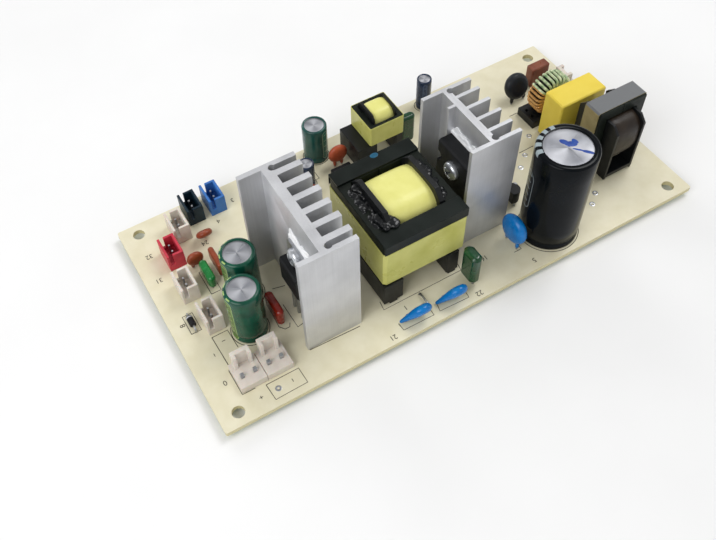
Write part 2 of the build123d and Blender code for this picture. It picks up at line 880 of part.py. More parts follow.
def capacitor_sleeve(radius, height, curled=True, sides=small_can_sides):
    """A sleeve shrunk round a can, with its top edge curled over a wider one."""
    with BuildPart() as sleeve:
        with BuildSketch():
            Circle(radius)
            RegularPolygon(radius - sleeve_wall, sides, mode=Mode.SUBTRACT)
        extrude(amount=height)
        if curled:
            with BuildSketch(Plane.XY.offset(height)):
                RegularPolygon(radius - sleeve_wall, sides)
                RegularPolygon(radius * (1 - sleeve_curl_share), sides, mode=Mode.SUBTRACT)
            extrude(amount=-sleeve_wall)
    return sleeve


bulk_centre = spot(bulk_x, bulk_y)
wire_leads(along_x(bulk_centre, bulk_lead_pitch))
save_copies("bulk_capacitor_can",
            [(standing(bulk_centre), capacitor_can(bulk_radius, bulk_height,
                                                   sides=can_sides))])
save_copies("bulk_capacitor_sleeve",
            [(standing(bulk_centre), capacitor_sleeve(bulk_radius, bulk_height,
                                                      sides=can_sides))])

output_centres = [spot(*place) for place in output_spots]
for centre in output_centres:
    wire_leads(along_y(centre, output_lead_pitch))
output_can = capacitor_can(output_radius, output_height)
output_sleeve = capacitor_sleeve(output_radius, output_height)
save_copies("output_capacitor_sleeves", [(standing(centre), output_sleeve)
                                         for centre in output_centres])

teal_centre = spot(teal_x, from_back(teal_from_back))
navy_centre = spot(navy_x, from_back(navy_from_back))
dark_centre = spot(dark_x, from_back(dark_from_back))
wire_leads(along_x(teal_centre, teal_lead_pitch))
wire_leads(along_x(navy_centre, small_can_lead_pitch))
wire_leads(along_x(dark_centre, small_can_lead_pitch))
save_copies("small_capacitor_cans", [(standing(centre), output_can)
                                     for centre in output_centres] + [
    (standing(teal_centre), capacitor_can(teal_radius, teal_height)),
    (standing(navy_centre), capacitor_can(navy_radius, navy_height, vented=False)),
    (standing(dark_centre), capacitor_can(dark_radius, dark_height, vented=False))])
save_copies("teal_capacitor_sleeve", [
    (standing(teal_centre), capacitor_sleeve(teal_radius, teal_height, curled=False))])
save_copies("navy_capacitor_sleeves", [
    (standing(navy_centre), capacitor_sleeve(navy_radius, navy_height, curled=False)),
    (standing(dark_centre), capacitor_sleeve(dark_radius, dark_height, curled=False))])

# Film capacitors


def box_capacitor(length, width, height):
    """A potted box on four small feet, its edges eased."""
    with BuildPart() as box:
        with BuildSketch(Plane.XY.offset(box_foot)):
            Rectangle(length, width)
        extrude(amount=height - box_foot)
        chamfer(box.edges().filter_by(Axis.Z), box_bevel)
        chamfer(box.faces().sort_by(Axis.Z)[-1].edges(), box_bevel)
        with BuildSketch():
            with GridLocations(length - box_foot_side - 2 * box_bevel,
                               width - box_foot_side - 2 * box_bevel, 2, 2):
                Rectangle(box_foot_side, box_foot_side)
        extrude(amount=box_foot)
    return box


def lead_skirts(places, top):
    """The dip coating that runs down round the leads, to add to a dipped body."""
    with BuildPart() as skirts:
        with BuildSketch(Plane.XY.offset(dip_lift)):
            with Locations(*places):
                RegularPolygon(skirt_radius, lead_sides)
        extrude(amount=top - dip_lift)
    return skirts


def dipped_film(size, pitch):
    """A dipped film capacitor: a pillow block along Y with a skirt down each lead."""
    width, length, height = size
    bottom = dip_lift + skirt_length
    with BuildPart() as block:
        with BuildSketch(Plane.XY.offset(bottom)) as outline:
            Rectangle(width, length)
            chamfer(outline.vertices(), width * dip_corner_share)
        extrude(amount=height)
        chamfer(block.faces().filter_by(Axis.Z).edges(), width * dip_bevel_share)
        add(lead_skirts(along_y((0, 0), pitch), bottom + skirt_overlap).part)
    return block


def place_dipped_film(name, size, centre, pitch):
    """Writes one dipped film capacitor and notes its leads."""
    wire_leads(along_y(centre, pitch), dip_lift)
    save_copies(name, [(standing(centre), dipped_film(size, pitch))])


mains_film_centre = spot(from_right(mains_film_from_right), mains_film_y)
wire_leads(along_x(mains_film_centre, mains_film_lead_pitch), box_foot)
save_copies("mains_film_capacitor", [(standing(mains_film_centre), box_capacitor(
    mains_film_length, mains_film_width, mains_film_height))])

brown_box_centre = spot(from_right(brown_box_from_right), from_back(brown_box_from_back))
wire_leads(along_x(brown_box_centre, brown_box_lead_pitch), box_foot)
save_copies("brown_box_capacitor", [(standing(brown_box_centre), box_capacitor(
    brown_box_length, brown_box_width, brown_box_height))])

place_dipped_film("red_film_capacitor", red_film_size, spot(*red_film_spot), dip_lead_pitch)
place_dipped_film("brown_film_capacitor", brown_film_size, spot(*brown_film_spot),
                  dip_lead_pitch)
place_dipped_film("green_dipped_capacitor", green_dip_size, spot(*green_dip_spot),
                  dip_lead_pitch)
front_film_centre = spot(main_x + front_film_from_transformer, front_film_y)
back_film_centre = spot(back_film_spot[0], from_back(back_film_spot[1]))
wire_leads(along_y(front_film_centre, film_lead_pitch), dip_lift)
wire_leads(along_x(back_film_centre, film_lead_pitch), dip_lift)
save_copies("green_film_capacitors", [
    (standing(front_film_centre), dipped_film(front_film_size, film_lead_pitch)),
    (standing(back_film_centre, 90), dipped_film(back_film_size, film_lead_pitch))])

# Disc capacitors and the thermistor


def dipped_disc(radius, thickness, pitch, lift, lean=0.0):
    """A dipped disc on two leads along X, leaning to -Y, with a skirt down each lead."""
    with BuildPart() as disc:
        with BuildSketch(Plane.XZ):
            RegularPolygon(radius, disc_sides)
        extrude(amount=thickness / 2, both=True)
        chamfer(disc.faces().filter_by(Axis.Y).edges(), thickness * disc_bevel_share)
    rise = math.sqrt(radius ** 2 - (pitch / 2) ** 2)
    pivot = lift + skirt_length
    tilt = math.radians(lean)
    places = along_x((0, 0), pitch)
    with BuildPart() as body:
        with Locations(Location((0, -rise * math.sin(tilt), pivot + rise * math.cos(tilt)),
                                (lean, 0, 0))):
            add(disc.part)
        with BuildSketch(Plane.XY.offset(lift)):
            with Locations(*places):
                RegularPolygon(skirt_radius, lead_sides)
        extrude(amount=skirt_length + skirt_overlap)
    return body


blue_disc = dipped_disc(blue_disc_radius, blue_disc_thickness, blue_disc_lead_pitch,
                        blue_disc_lift, blue_disc_lean)
side_disc = dipped_disc(side_disc_radius, side_disc_thickness, blue_disc_lead_pitch,
                        side_disc_lift)
front_discs = [spot(main_x + place, blue_disc_y) for place in blue_disc_places]
for centre in front_discs:
    wire_leads(along_x(centre, blue_disc_lead_pitch), blue_disc_lift)
side_disc_centre = spot(bulk_x - bulk_radius - side_disc_from_bulk, side_disc_y)
wire_leads(along_y(side_disc_centre, blue_disc_lead_pitch), side_disc_lift)
save_copies("blue_disc_capacitors",
            [(standing(centre), blue_disc) for centre in front_discs]
            + [(standing(side_disc_centre, 90), side_disc)])

orange_disc_centre = spot(orange_disc_spot[0], from_back(orange_disc_spot[1]))
wire_leads(along_x(orange_disc_centre, small_disc_lead_pitch), orange_disc_lift)
save_copies("orange_disc_capacitor", [(standing(orange_disc_centre), dipped_disc(
    orange_disc_radius, orange_disc_thickness, small_disc_lead_pitch, orange_disc_lift))])

brown_disc = dipped_disc(brown_disc_radius, brown_disc_thickness, small_disc_lead_pitch,
                         small_disc_lift)
leaning_disc = dipped_disc(brown_disc_radius, brown_disc_thickness, small_disc_lead_pitch,
                           small_disc_lift, leaning_disc_lean)
brown_disc_centres = [spot(*place) for place in brown_disc_spots]
leaning_disc_centre = spot(*leaning_disc_spot)
for centre in [*brown_disc_centres, leaning_disc_centre]:
    wire_leads(along_x(centre, small_disc_lead_pitch), small_disc_lift)
save_copies("brown_disc_capacitors",
            [(standing(centre), brown_disc) for centre in brown_disc_centres]
            + [(standing(leaning_disc_centre), leaning_disc)])

thermistor_centre = spot(from_right(thermistor_from_right), from_back(thermistor_from_back))
wire_leads(along_x(thermistor_centre, thermistor_lead_pitch), thermistor_lift)
save_copies("thermistor", [(standing(thermistor_centre), dipped_disc(
    thermistor_radius, thermistor_thickness, thermistor_lead_pitch, thermistor_lift,
    thermistor_lean))])

# Wire headers


def box_header():
    """A two-way header: an open-topped box with a slot in each end wall."""
    slot_x = header_wall + header_slot_width / 2 - header_depth / 2
    with BuildPart() as header:
        with BuildSketch():
            Rectangle(header_depth, header_length)
        extrude(amount=header_height)
        with BuildSketch(Plane.XY.offset(header_floor)):
            Rectangle(header_depth - 2 * header_wall, header_length - 2 * header_wall)
        extrude(amount=header_height - header_floor, mode=Mode.SUBTRACT)
        with BuildSketch(Plane.XY.offset(header_height)):
            with Locations((slot_x, 0)):
                Rectangle(header_slot_width, header_length)
        extrude(amount=-header_slot_depth, mode=Mode.SUBTRACT)
        with BuildSketch():
            with Locations(*along_y((0, 0), header_pin_pitch)):
                Rectangle(pin_side, pin_side)
        extrude(amount=header_floor, mode=Mode.SUBTRACT)
    return header


def latch_header(width, depth, pin_inset):
    """A two-way header: a low base, and a tall latch wall with a recess along its back."""
    wall_y = (depth - latch_wall_depth) / 2
    recess_y = depth / 2 - latch_wall_depth + latch_recess_depth / 2
    rise = latch_header_height - latch_base_height
    with BuildPart() as header:
        with BuildSketch():
            Rectangle(width, depth)
            with Locations(*along_x((0, pin_inset - depth / 2), latch_pin_pitch)):
                Rectangle(latch_pin_side, latch_pin_side, mode=Mode.SUBTRACT)
        extrude(amount=latch_base_height)
        with BuildSketch(Plane.XY.offset(latch_base_height)):
            with Locations((0, wall_y)):
                Rectangle(latch_wall_width, latch_wall_depth)
            with Locations((0, recess_y)):
                Rectangle(latch_recess_width, latch_recess_depth, mode=Mode.SUBTRACT)
        extrude(amount=rise)
    return header


small_header = box_header()
header_centres = {
    "white_wire_headers": [spot(*place) for place in white_header_spots],
    "red_wire_header": [spot(*red_header_spot)],
    "black_wire_header": [spot(*black_header_spot)],
    "blue_wire_header": [spot(*blue_header_spot)]}
for name, centres in header_centres.items():
    save_copies(name, [(standing(centre), small_header) for centre in centres])
header_pin_places = [place for centres in header_centres.values() for centre in centres
                     for place in along_y(centre, header_pin_pitch)]
pin_spots.extend(header_pin_places)

latch_centres = along_x(spot(latch_header_x, latch_header_y),
                        latch_header_width + latch_header_gap)
large_header = latch_header(latch_header_width, latch_header_depth, latch_pin_inset)
save_copies("large_wire_headers", [(standing(centre), large_header)
                                   for centre in latch_centres])
mains_header_centre = spot(from_right(mains_header_from_right),
                           from_back(mains_header_from_back))
save_copies("mains_header", [(standing(mains_header_centre, 90), latch_header(
    mains_header_width, mains_header_depth, mains_pin_inset))])
post_spots.extend([place for x, y in latch_centres for place in along_x(
    (x, y + latch_pin_inset - latch_header_depth / 2), latch_pin_pitch)])
post_spots.extend(along_y(
    (mains_header_centre[0] + mains_header_depth / 2 - mains_pin_inset,
     mains_header_centre[1]), latch_pin_pitch))
small_pins = square_pins(header_pin_places, header_pin_rise)
large_pins = square_pins(post_spots, latch_pin_rise, latch_pin_side)
save_copies("header_pins", [(Location(), small_pins), (Location(), large_pins)])

# Small parts

coupler_centre = spot(coupler_spot[0], from_back(coupler_spot[1]))
coupler_width = coupler_row_pitch - pin_side
with BuildPart() as optocoupler:
    with BuildSketch(Plane((*coupler_centre, board_top + coupler_lift))):
        Rectangle(coupler_width, coupler_length)
    extrude(amount=coupler_height)
    chamfer(optocoupler.faces().sort_by(Axis.Z)[-1].edges(), coupler_bevel)
save(optocoupler, "optocoupler")
coupler_places = [place for row in along_x(coupler_centre, coupler_row_pitch)
                  for place in along_y(row, coupler_lead_pitch)]
pin_spots.extend(coupler_places)
coupler_leads = square_pins(coupler_places, coupler_lift + coupler_height / 2)

regulator_centre = spot(right_sink_x + right_sink_width + regulator_from_sink,
                        regulator_y)
with BuildPart() as small_regulator:
    with BuildSketch(Plane((*regulator_centre, board_top + regulator_lift))):
        Circle(regulator_radius)
        with Locations((-regulator_flat, 0)):
            Rectangle(2 * regulator_radius, 2 * regulator_radius, mode=Mode.SUBTRACT,
                      align=(Align.MAX, Align.CENTER))
    extrude(amount=regulator_height)
save(small_regulator, "small_regulator")
wire_leads(along_y(regulator_centre, regulator_lead_pitch, 3), regulator_lift)


def axial_body(radius, length):
    """A round body lying along X over the board."""
    with BuildPart() as body:
        with BuildSketch(Plane.YZ.offset(-length / 2)):
            with Locations((0, axial_lift + radius)):
                RegularPolygon(radius, axial_sides)
        extrude(amount=length)
    return body


def bent_leads(body_length, pitch, height):
    """Two leads along X, from a body's ends out to a bend and down through the board."""
    with BuildPart() as leads:
        with BuildSketch(Plane.YZ.offset(body_length / 2)):
            with Locations((0, height)):
                RegularPolygon(lead_radius, lead_sides)
        extrude(amount=(pitch - body_length) / 2)
        with BuildSketch(Plane.XY.offset(-board_thickness)):
            with Locations((pitch / 2, 0)):
                RegularPolygon(lead_radius, lead_sides)
        extrude(amount=board_thickness + height)
        mirror(about=Plane.YZ)
    return leads


bent_places = []
bent_runs = []
for name, centre, radius, length, turn in (
        ("small_diode", spot(*diode_spot), diode_radius, diode_length, 90),
        ("small_resistor", spot(resistor_spot[0], from_back(resistor_spot[1])),
         resistor_radius, resistor_length, 0)):
    pitch = length + 2 * axial_lead_overhang
    save_copies(name, [(standing(centre, turn), axial_body(radius, length))])
    bent_runs.append((standing(centre, turn),
                      bent_leads(length, pitch, axial_lift + radius)))
    row = along_y if turn else along_x
    bent_places.extend(row(centre, pitch))

link_centre = spot(main_x + link_from_transformer, link_y)
save_copies("wire_link", [(standing(link_centre, 90),
                           bent_leads(0, link_length, link_rise))])
bent_places.extend(along_y(link_centre, link_length))

with BuildPart() as component_leads:
    for places, top in lead_runs:
        with BuildSketch(Plane.XY.offset(solder_drop)):
            with Locations(*places):
                RegularPolygon(lead_radius, lead_sides)
        extrude(amount=top - solder_drop)
    for location, leads in bent_runs:
        with Locations(location):
            add(leads.part)
    add(coupler_leads.part)
save(component_leads, "component_leads")

# Board and solder joints
round_places = [place for places, top in lead_runs for place in places] + bent_places
mounting_spacing_x = board_length - 2 * mounting_inset_x
mounting_spacing_y = board_width - 2 * mounting_inset_y
with BuildPart() as circuit_board:
    with BuildSketch(Plane.XY.offset(solder_drop)):
        RectangleRounded(board_length, board_width, board_corner_radius)
        with GridLocations(mounting_spacing_x, mounting_spacing_y, 2, 2):
            Circle(mounting_hole_radius, mode=Mode.SUBTRACT)
        with Locations(*round_places):
            RegularPolygon(lead_radius + lead_clearance, lead_sides, mode=Mode.SUBTRACT)
        with Locations(*leg_spots):
            RegularPolygon(sink_leg_radius + leg_clearance, lead_sides, mode=Mode.SUBTRACT)
        for places, across, along in (
                (pin_spots, pin_side, pin_side),
                (post_spots, latch_pin_side, latch_pin_side),
                (blade_spots, package_lead_thickness, package_lead_width)):
            with Locations(*places):
                Rectangle(across + 2 * pin_clearance, along + 2 * pin_clearance,
                          mode=Mode.SUBTRACT)
    extrude(amount=board_thickness)
save(circuit_board, "circuit_board")


def solder_cones(places, pad_width):
    """Four-sided cones of solder from lead tips up to their pads under the board."""
    spread = math.atan((pad_width - solder_tip_width) / 2 / solder_drop)
    with BuildPart() as cone:
        with BuildSketch(Plane.XY.offset(solder_drop)):
            Rectangle(pad_width, pad_width)
        extrude(amount=-solder_drop)
        draft(cone.faces().filter_by(Axis.Z, reverse=True),
              neutral_plane=Plane.XY.offset(solder_drop), angle=-math.degrees(spread))
    return [(Location((*place, 0)), cone) for place in places]


save_copies("solder_joints", (
    solder_cones(round_places + pin_spots, solder_pad_width)
    + solder_cones(leg_spots + post_spots + blade_spots, solder_wide_width)))
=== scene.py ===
"""Looks of an open-frame power supply board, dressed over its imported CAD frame."""

import logging
import math
import random
from collections.abc import Iterable, Sequence
from dataclasses import dataclass
from enum import Enum
from functools import cache

import bmesh
import bpy
from mathutils import Matrix, Vector


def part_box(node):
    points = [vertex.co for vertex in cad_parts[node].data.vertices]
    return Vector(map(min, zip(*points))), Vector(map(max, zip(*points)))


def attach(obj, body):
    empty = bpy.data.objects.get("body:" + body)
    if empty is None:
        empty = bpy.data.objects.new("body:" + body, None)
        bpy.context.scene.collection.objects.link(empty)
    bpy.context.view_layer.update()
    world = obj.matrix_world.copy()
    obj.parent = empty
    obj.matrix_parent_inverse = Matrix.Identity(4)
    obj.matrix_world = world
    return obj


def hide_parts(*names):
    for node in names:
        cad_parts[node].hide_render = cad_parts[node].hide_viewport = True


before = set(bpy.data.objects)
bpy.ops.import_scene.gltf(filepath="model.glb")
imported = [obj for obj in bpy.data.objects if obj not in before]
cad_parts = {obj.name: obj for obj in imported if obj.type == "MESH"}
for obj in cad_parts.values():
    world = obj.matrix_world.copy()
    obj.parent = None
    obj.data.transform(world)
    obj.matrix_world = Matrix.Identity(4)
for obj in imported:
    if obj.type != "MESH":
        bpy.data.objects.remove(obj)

MM = 0.001
MERGE = 0.001 * MM
SHARP_ANGLE = 32.0
FLAT_ANGLE = 1.0
DAB_ANGLE = 70.0
COAT_ROUGHNESS = 0.12
LOWEST_ROUGHNESS = 0.04
WEAR_SHARE = 0.7
UV_NAME = "spread"
UV_SCALE = 100.0
MATH = "ShaderNodeMath"
MIX = "ShaderNodeMix"
NOISE = "ShaderNodeTexNoise"
MAP_RANGE = "ShaderNodeMapRange"
SEPARATE = "ShaderNodeSeparateXYZ"
COMBINE = "ShaderNodeCombineXYZ"
COORDINATES = "ShaderNodeTexCoord"
TONE_BAND = {"From Min": 0.3, "From Max": 0.7}
WEAR_BAND = {"From Min": 0.25, "From Max": 0.75}
ROOM_BAND = {"From Min": 0.35, "From Max": 0.65}
LOG = logging.getLogger("power_supply_board")
Point = tuple[float, float]
Triple = tuple[float, float, float]
Form = bmesh.types.BMesh
Mesh = bpy.types.Mesh
Node = bpy.types.Node
Piece = bpy.types.Object
Socket = bpy.types.NodeSocket


class Ease(Enum):
    """How far the edges of a moulded or cut piece are rounded, in mm."""

    CRISP = 0.06
    FINE = 0.12
    SOFT = 0.25


def linear(colour: str) -> tuple[float, float, float, float]:
    """Turns an sRGB hex colour to linear.

    Args:
        colour: The colour as "#RRGGBB".

    Returns:
        Linear red, green and blue, and an alpha of 1.
    """
    parts = (int(colour[i:i + 2], 16) / 255 for i in (1, 3, 5))
    return (*(c / 12.92 if c <= 0.04045 else ((c + 0.055) / 1.055) ** 2.4 for c in parts), 1.0)


class Graph:
    """A node tree that is being built, and the place that its patterns are read at."""

    def __init__(self, tree: bpy.types.NodeTree) -> None:
        """Opens a tree."""
        self.tree = tree
        self.place: Socket | None = None

    def feed(self, node: Node, inputs: dict | tuple) -> None:
        """Links or sets a node's inputs.

        Args:
            node: The node.
            inputs: What its inputs get, by name or number or in order. A node stands for its
                first output in use.
        """
        for name, source in inputs.items() if isinstance(inputs, dict) else enumerate(inputs):
            if isinstance(source, Node):
                source = next(output for output in source.outputs if output.enabled)
            if isinstance(source, Socket):
                self.tree.links.new(source, node.inputs[name])
            else:
                node.inputs[name].default_value = source

    def add(self, kind: str, inputs: dict | tuple = (), **settings: object) -> Node:
        """Adds a node with its settings and links.

        Args:
            kind: The node's type name.
            inputs: What its inputs get, as feed takes them.
            **settings: Properties of the node itself.

        Returns:
            The new node.
        """
        made = self.tree.nodes.new(kind)
        for name, value in settings.items():
            setattr(made, name, value)
        self.feed(made, inputs)
        return made

    def sized(self, size: float, detail: float = 3.0) -> dict[str, object]:
        """Returns the inputs of a pattern with a real size in mm, at the graph's place."""
        return {"Vector": self.place, "Scale": 1 / (size * MM), "Detail": detail}

    def product(self, first: Node, *others: Node) -> Node:
        """Returns several masks multiplied together.

        Args:
            first: The first mask.
            others: The masks that follow.

        Returns:
            The product's node.
        """
        for other in others:
            first = self.add(MATH, (first, other), operation="MULTIPLY")
        return first

    def between(self, value: Node | Socket, low: float, high: float) -> Node:
        """Returns 1 where a value lies between two bounds.

        Args:
            value: What is compared.
            low: The lower bound.
            high: The upper bound.

        Returns:
            A mask, 1 inside and 0 outside.
        """
        half = (high - low) / 2
        aside = self.add(MATH, (value, low + half), operation="SUBTRACT")
        aside = self.add(MATH, (aside,), operation="ABSOLUTE")
        return self.add(MATH, (aside, half), operation="LESS_THAN")

    def facing(self) -> Socket:
        """Returns how far the surface faces upwards, from -1 to 1."""
        normal = self.add("ShaderNodeNewGeometry").outputs["Normal"]
        return self.add(SEPARATE, (normal,)).outputs[2]


@dataclass(frozen=True)
class Finish:
    """A plain moulded or cast surface; other finishes build on it.

    Sizes are in mm. The colour drifts to the shade in patches, and the grain is the relief
    that the surface was made with.
    """

    name: str
    colour: str
    shade: str
    roughness: float
    metallic: float = 0.0
    specular: float = 0.4
    coat: float = 0.0
    patch: float = 3.0
    grain: float = 0.6
    relief: float = 0.01
    wander: float = 0.08

    def tone(self, graph: Graph) -> Node:
        """Returns the share of the shade in the colour."""
        return graph.add(MAP_RANGE, {
            "Value": graph.add(NOISE, graph.sized(self.patch)), **TONE_BAND})

    def height(self, graph: Graph) -> Node:
        """Returns the relief, as a share of its depth."""
        return graph.add(NOISE, graph.sized(self.grain, 2.0))

    def paint(self, graph: Graph) -> Node:
        """Returns the surface's colour."""
        return graph.add(MIX, {0: self.tone(graph), 6: linear(self.colour),
                               7: linear(self.shade)}, data_type="RGBA")

    def extras(self, graph: Graph) -> dict[str, object]:
        """Returns the shader's inputs that only some finishes set."""
        return {}

    @cache
    def material(self) -> bpy.types.Material:
        """Returns the finish as a material, made once.

        Returns:
            The material.
        """
        made = bpy.data.materials.new(self.name)
        made.use_nodes = True
        graph = Graph(made.node_tree)
        graph.place = graph.add(COORDINATES).outputs["Object"]
        wear = graph.add(NOISE, graph.sized(self.patch * WEAR_SHARE))
        rough = graph.add(MAP_RANGE, {
            "Value": wear, **WEAR_BAND,
            "To Min": max(LOWEST_ROUGHNESS, self.roughness - self.wander),
            "To Max": min(1.0, self.roughness + self.wander)})
        bump = graph.add("ShaderNodeBump", {
            "Height": self.height(graph), "Distance": self.relief * MM, "Strength": 1.0})
        graph.feed(made.node_tree.nodes["Principled BSDF"], {
            "Metallic": self.metallic, "Specular IOR Level": self.specular,
            "Coat Weight": self.coat, "Coat Roughness": COAT_ROUGHNESS, "Roughness": rough,
            "Normal": bump, "Base Color": self.paint(graph), **self.extras(graph)})
        return made


@dataclass(frozen=True)
class Extruded(Finish):
    """Mill-finish extrusion: fine die lines along Z and cloudy patches from handling."""

    line: float = 0.4
    squeeze: float = 0.015

    def height(self, graph: Graph) -> Node:
        """Returns the die lines, as noise drawn out along Z.

        Args:
            graph: The material's node graph.

        Returns:
            The height that the bump reads.
        """
        long = graph.add("ShaderNodeMapping", {
            "Vector": graph.place, "Scale": (1, 1, self.squeeze)}).outputs[0]
        return graph.add(NOISE, graph.sized(self.line, 4.0) | {"Vector": long})

    def tone(self, graph: Graph) -> Node:
        """Returns die lines mixed with the clouds."""
        both = graph.add(MATH, (self.height(graph), super().tone(graph)), operation="ADD")
        return graph.add(MATH, (both, 0.5), operation="MULTIPLY")


@dataclass(frozen=True)
class Laminate(Finish):
    """Paper laminate: specked cream faces, sawn brown edges and a resist underneath."""

    edge: str = "#CFC69A"
    under: str = "#B9C08A"
    tilt: float = 0.5

    def paint(self, graph: Graph) -> Node:
        """Returns the face, edge or underside colour by where the surface faces.

        Args:
            graph: The material's node graph.

        Returns:
            The colour's node.
        """
        facing = graph.facing()
        side = graph.between(facing, -self.tilt, self.tilt)
        below = graph.add(MATH, (facing, -self.tilt), operation="LESS_THAN")
        sawn = graph.add(MIX, {0: side, 6: super().paint(graph), 7: linear(self.edge)},
                         data_type="RGBA")
        return graph.add(MIX, {0: below, 6: sawn, 7: linear(self.under)}, data_type="RGBA")


@dataclass(frozen=True)
class Taped(Finish):
    """Polyester tape in layers, whose edges leave low steps along one axis."""

    pitch: float = 3.1
    axis: int = 2
    wobble: float = 0.3
    step: float = 0.35

    def height(self, graph: Graph) -> Node:
        """Returns the tape's steps with the winding's unevenness under it.

        Args:
            graph: The material's node graph.

        Returns:
            The height that the bump reads.
        """
        along = graph.add(SEPARATE, (graph.place,)).outputs[self.axis]
        turns = graph.add(MATH, (along, self.pitch * MM), operation="DIVIDE")
        uneven = graph.add(NOISE, graph.sized(self.patch))
        wavy = graph.add(MATH, (uneven, self.wobble, turns), operation="MULTIPLY_ADD")
        steps = graph.add(MATH, (wavy,), operation="FRACT")
        return graph.add(MATH, (steps, self.step, super().height(graph)),
                         operation="MULTIPLY_ADD")


@dataclass(frozen=True)
class Capped(Taped):
    """A band of tape whose colour stops at a ragged height: dark below, grey on its top."""

    cap: str = "#6C6E70"
    low: str = "#2B221A"
    split: float = 17.5
    ragged: float = 0.6
    tilt: float = 0.7

    def paint(self, graph: Graph) -> Node:
        """Returns the colour by the height and by where the surface faces.

        Args:
            graph: The material's node graph.

        Returns:
            The colour's node.
        """
        uneven = graph.add(NOISE, graph.sized(self.patch))
        level = graph.add(MATH, (uneven, self.ragged * MM,
                                 graph.add(SEPARATE, (graph.place,)).outputs[2]),
                          operation="MULTIPLY_ADD")
        under = graph.add(MATH, (level, (self.split + self.ragged / 2) * MM),
                          operation="LESS_THAN")
        above = graph.add(MATH, (graph.facing(), self.tilt), operation="GREATER_THAN")
        banded = graph.add(MIX, {0: under, 6: super().paint(graph), 7: linear(self.low)},
                           data_type="RGBA")
        return graph.add(MIX, {0: above, 6: banded, 7: linear(self.cap)}, data_type="RGBA")


@dataclass(frozen=True)
class TurnedWithPaintedSheen(Finish):
    """Aluminium drawn and turned; its highlight fans out round the lid's centre, partly as a
    painted highlight.
    """

    # Count, turn and share of the painted highlight's light and dark sectors; streak is the real
    # anisotropy
    painted_sheen_wedges: float = 3.0
    phase: float = 1.0
    painted_sheen_share: float = 0.8
    streak: float = 0.4

    def tone(self, graph: Graph) -> Node:
        """Returns painted highlight sectors round the centre, mixed with patches of wear.

        Args:
            graph: The material's node graph.

        Returns:
            The mask that the tone reads.
        """
        # Painted highlight: light and dark sectors round the centre stand in for the lid's
        # reflection
        turns = graph.add(SEPARATE, (graph.add(COORDINATES).outputs["UV"],)).outputs[0]
        angle = graph.add(MATH, (turns, math.tau * self.painted_sheen_wedges, self.phase),
                          operation="MULTIPLY_ADD")
        wave = graph.add(MATH, (angle,), operation="SINE")
        painted_sheen_wedge = graph.add(MATH, (wave, 0.5, 0.5), operation="MULTIPLY_ADD")
        return graph.add(MIX, {0: self.painted_sheen_share, 2: super().tone(graph), 3: painted_sheen_wedge})

    def extras(self, graph: Graph) -> dict[str, object]:
        """Runs the anisotropy round the centre, along the lid's own UV."""
        return {"Anisotropic": self.streak, "Tangent": graph.add(
            "ShaderNodeTangent", direction_type="UV_MAP", uv_map=UV_NAME)}


@dataclass(frozen=True)
class Sleeve(Finish):
    """Shrunk film on a can, printed with a rounded outline, minus marks and rim dashes.

    The lathe's UV gives turns, and the way down from the lip's inner edge in tenths of a
    metre. Print sizes are in mm, places round the can in turns.
    """

    specular: float = 0.3
    coat: float = 0.2
    patch: float = 4.0
    ink: str = "#C9CCD0"
    ground: str = "#141518"
    radius: float = 9.0
    print_turn: float = 0.5
    print_width: float = 5.0
    print_top: float = 8.0
    print_end: float = 24.0
    line: float = 0.3
    worn: float = 0.6
    dash_pitch: float = 2.6
    dash_span: Point = (0.42, 0.58)
    dash_share: float = 0.45
    rim_turn: float = 0.36
    rim_reach: float = 0.0
    rim_top: float = 1.0
    rim_end: float = 3.0
    rim_dashes: float = 28.0
    rim_span: Point = (0.25, 0.8)

    def paint(self, graph: Graph) -> Node:
        """Returns the film with its print.

        Args:
            graph: The material's node graph.

        Returns:
            The colour's node.
        """
        turn, depth, _ = graph.add(SEPARATE, (graph.add(COORDINATES).outputs["UV"],)).outputs
        down = graph.add(MATH, (depth, UV_SCALE), operation="MULTIPLY")
        corner = self.print_width / 2
        half = (self.print_end - self.print_top) / 2
        turned = graph.add(MATH, (turn, self.print_turn), operation="SUBTRACT")
        round_can = graph.add(MATH, (turned, math.tau * self.radius), operation="MULTIPLY")
        aside = graph.add(MATH, (round_can,), operation="ABSOLUTE")
        from_middle = graph.add(MATH, (down, self.print_top + half), operation="SUBTRACT")
        from_middle = graph.add(MATH, (from_middle,), operation="ABSOLUTE")
        beyond = graph.add(MATH, (from_middle, half - corner), operation="SUBTRACT")
        beyond = graph.add(MATH, (beyond, 0.0), operation="MAXIMUM")
        reach = graph.add("ShaderNodeVectorMath", (graph.add(COMBINE, (aside, beyond)),),
                          operation="LENGTH").outputs["Value"]
        inside = graph.add(MATH, (reach, corner - self.line), operation="LESS_THAN")
        outline = graph.between(reach, corner - self.line, corner)
        beats = graph.add(MATH, (down, self.dash_pitch), operation="DIVIDE")
        beat = graph.add(MATH, (beats,), operation="FRACT")
        narrow = graph.add(MATH, (aside, corner * self.dash_share), operation="LESS_THAN")
        bars = graph.product(graph.between(beat, *self.dash_span), inside, narrow)
        pulses = graph.add(MATH, (turn, self.rim_dashes), operation="MULTIPLY")
        pulse = graph.add(MATH, (pulses,), operation="FRACT")
        rim = graph.product(
            graph.between(pulse, *self.rim_span), graph.between(down, self.rim_top, self.rim_end),
            graph.between(turn, self.rim_turn - self.rim_reach, self.rim_turn + self.rim_reach))
        marks = graph.add(MATH, (outline, bars), operation="MAXIMUM")
        faint = graph.add(MATH, (marks, self.worn), operation="MULTIPLY")
        inked = graph.add(MATH, (faint, rim), operation="MAXIMUM")
        backed = graph.add(MIX, {0: inside, 6: super().paint(graph), 7: linear(self.ground)},
                           data_type="RGBA")
        return graph.add(MIX, {0: inked, 6: backed, 7: linear(self.ink)}, data_type="RGBA")


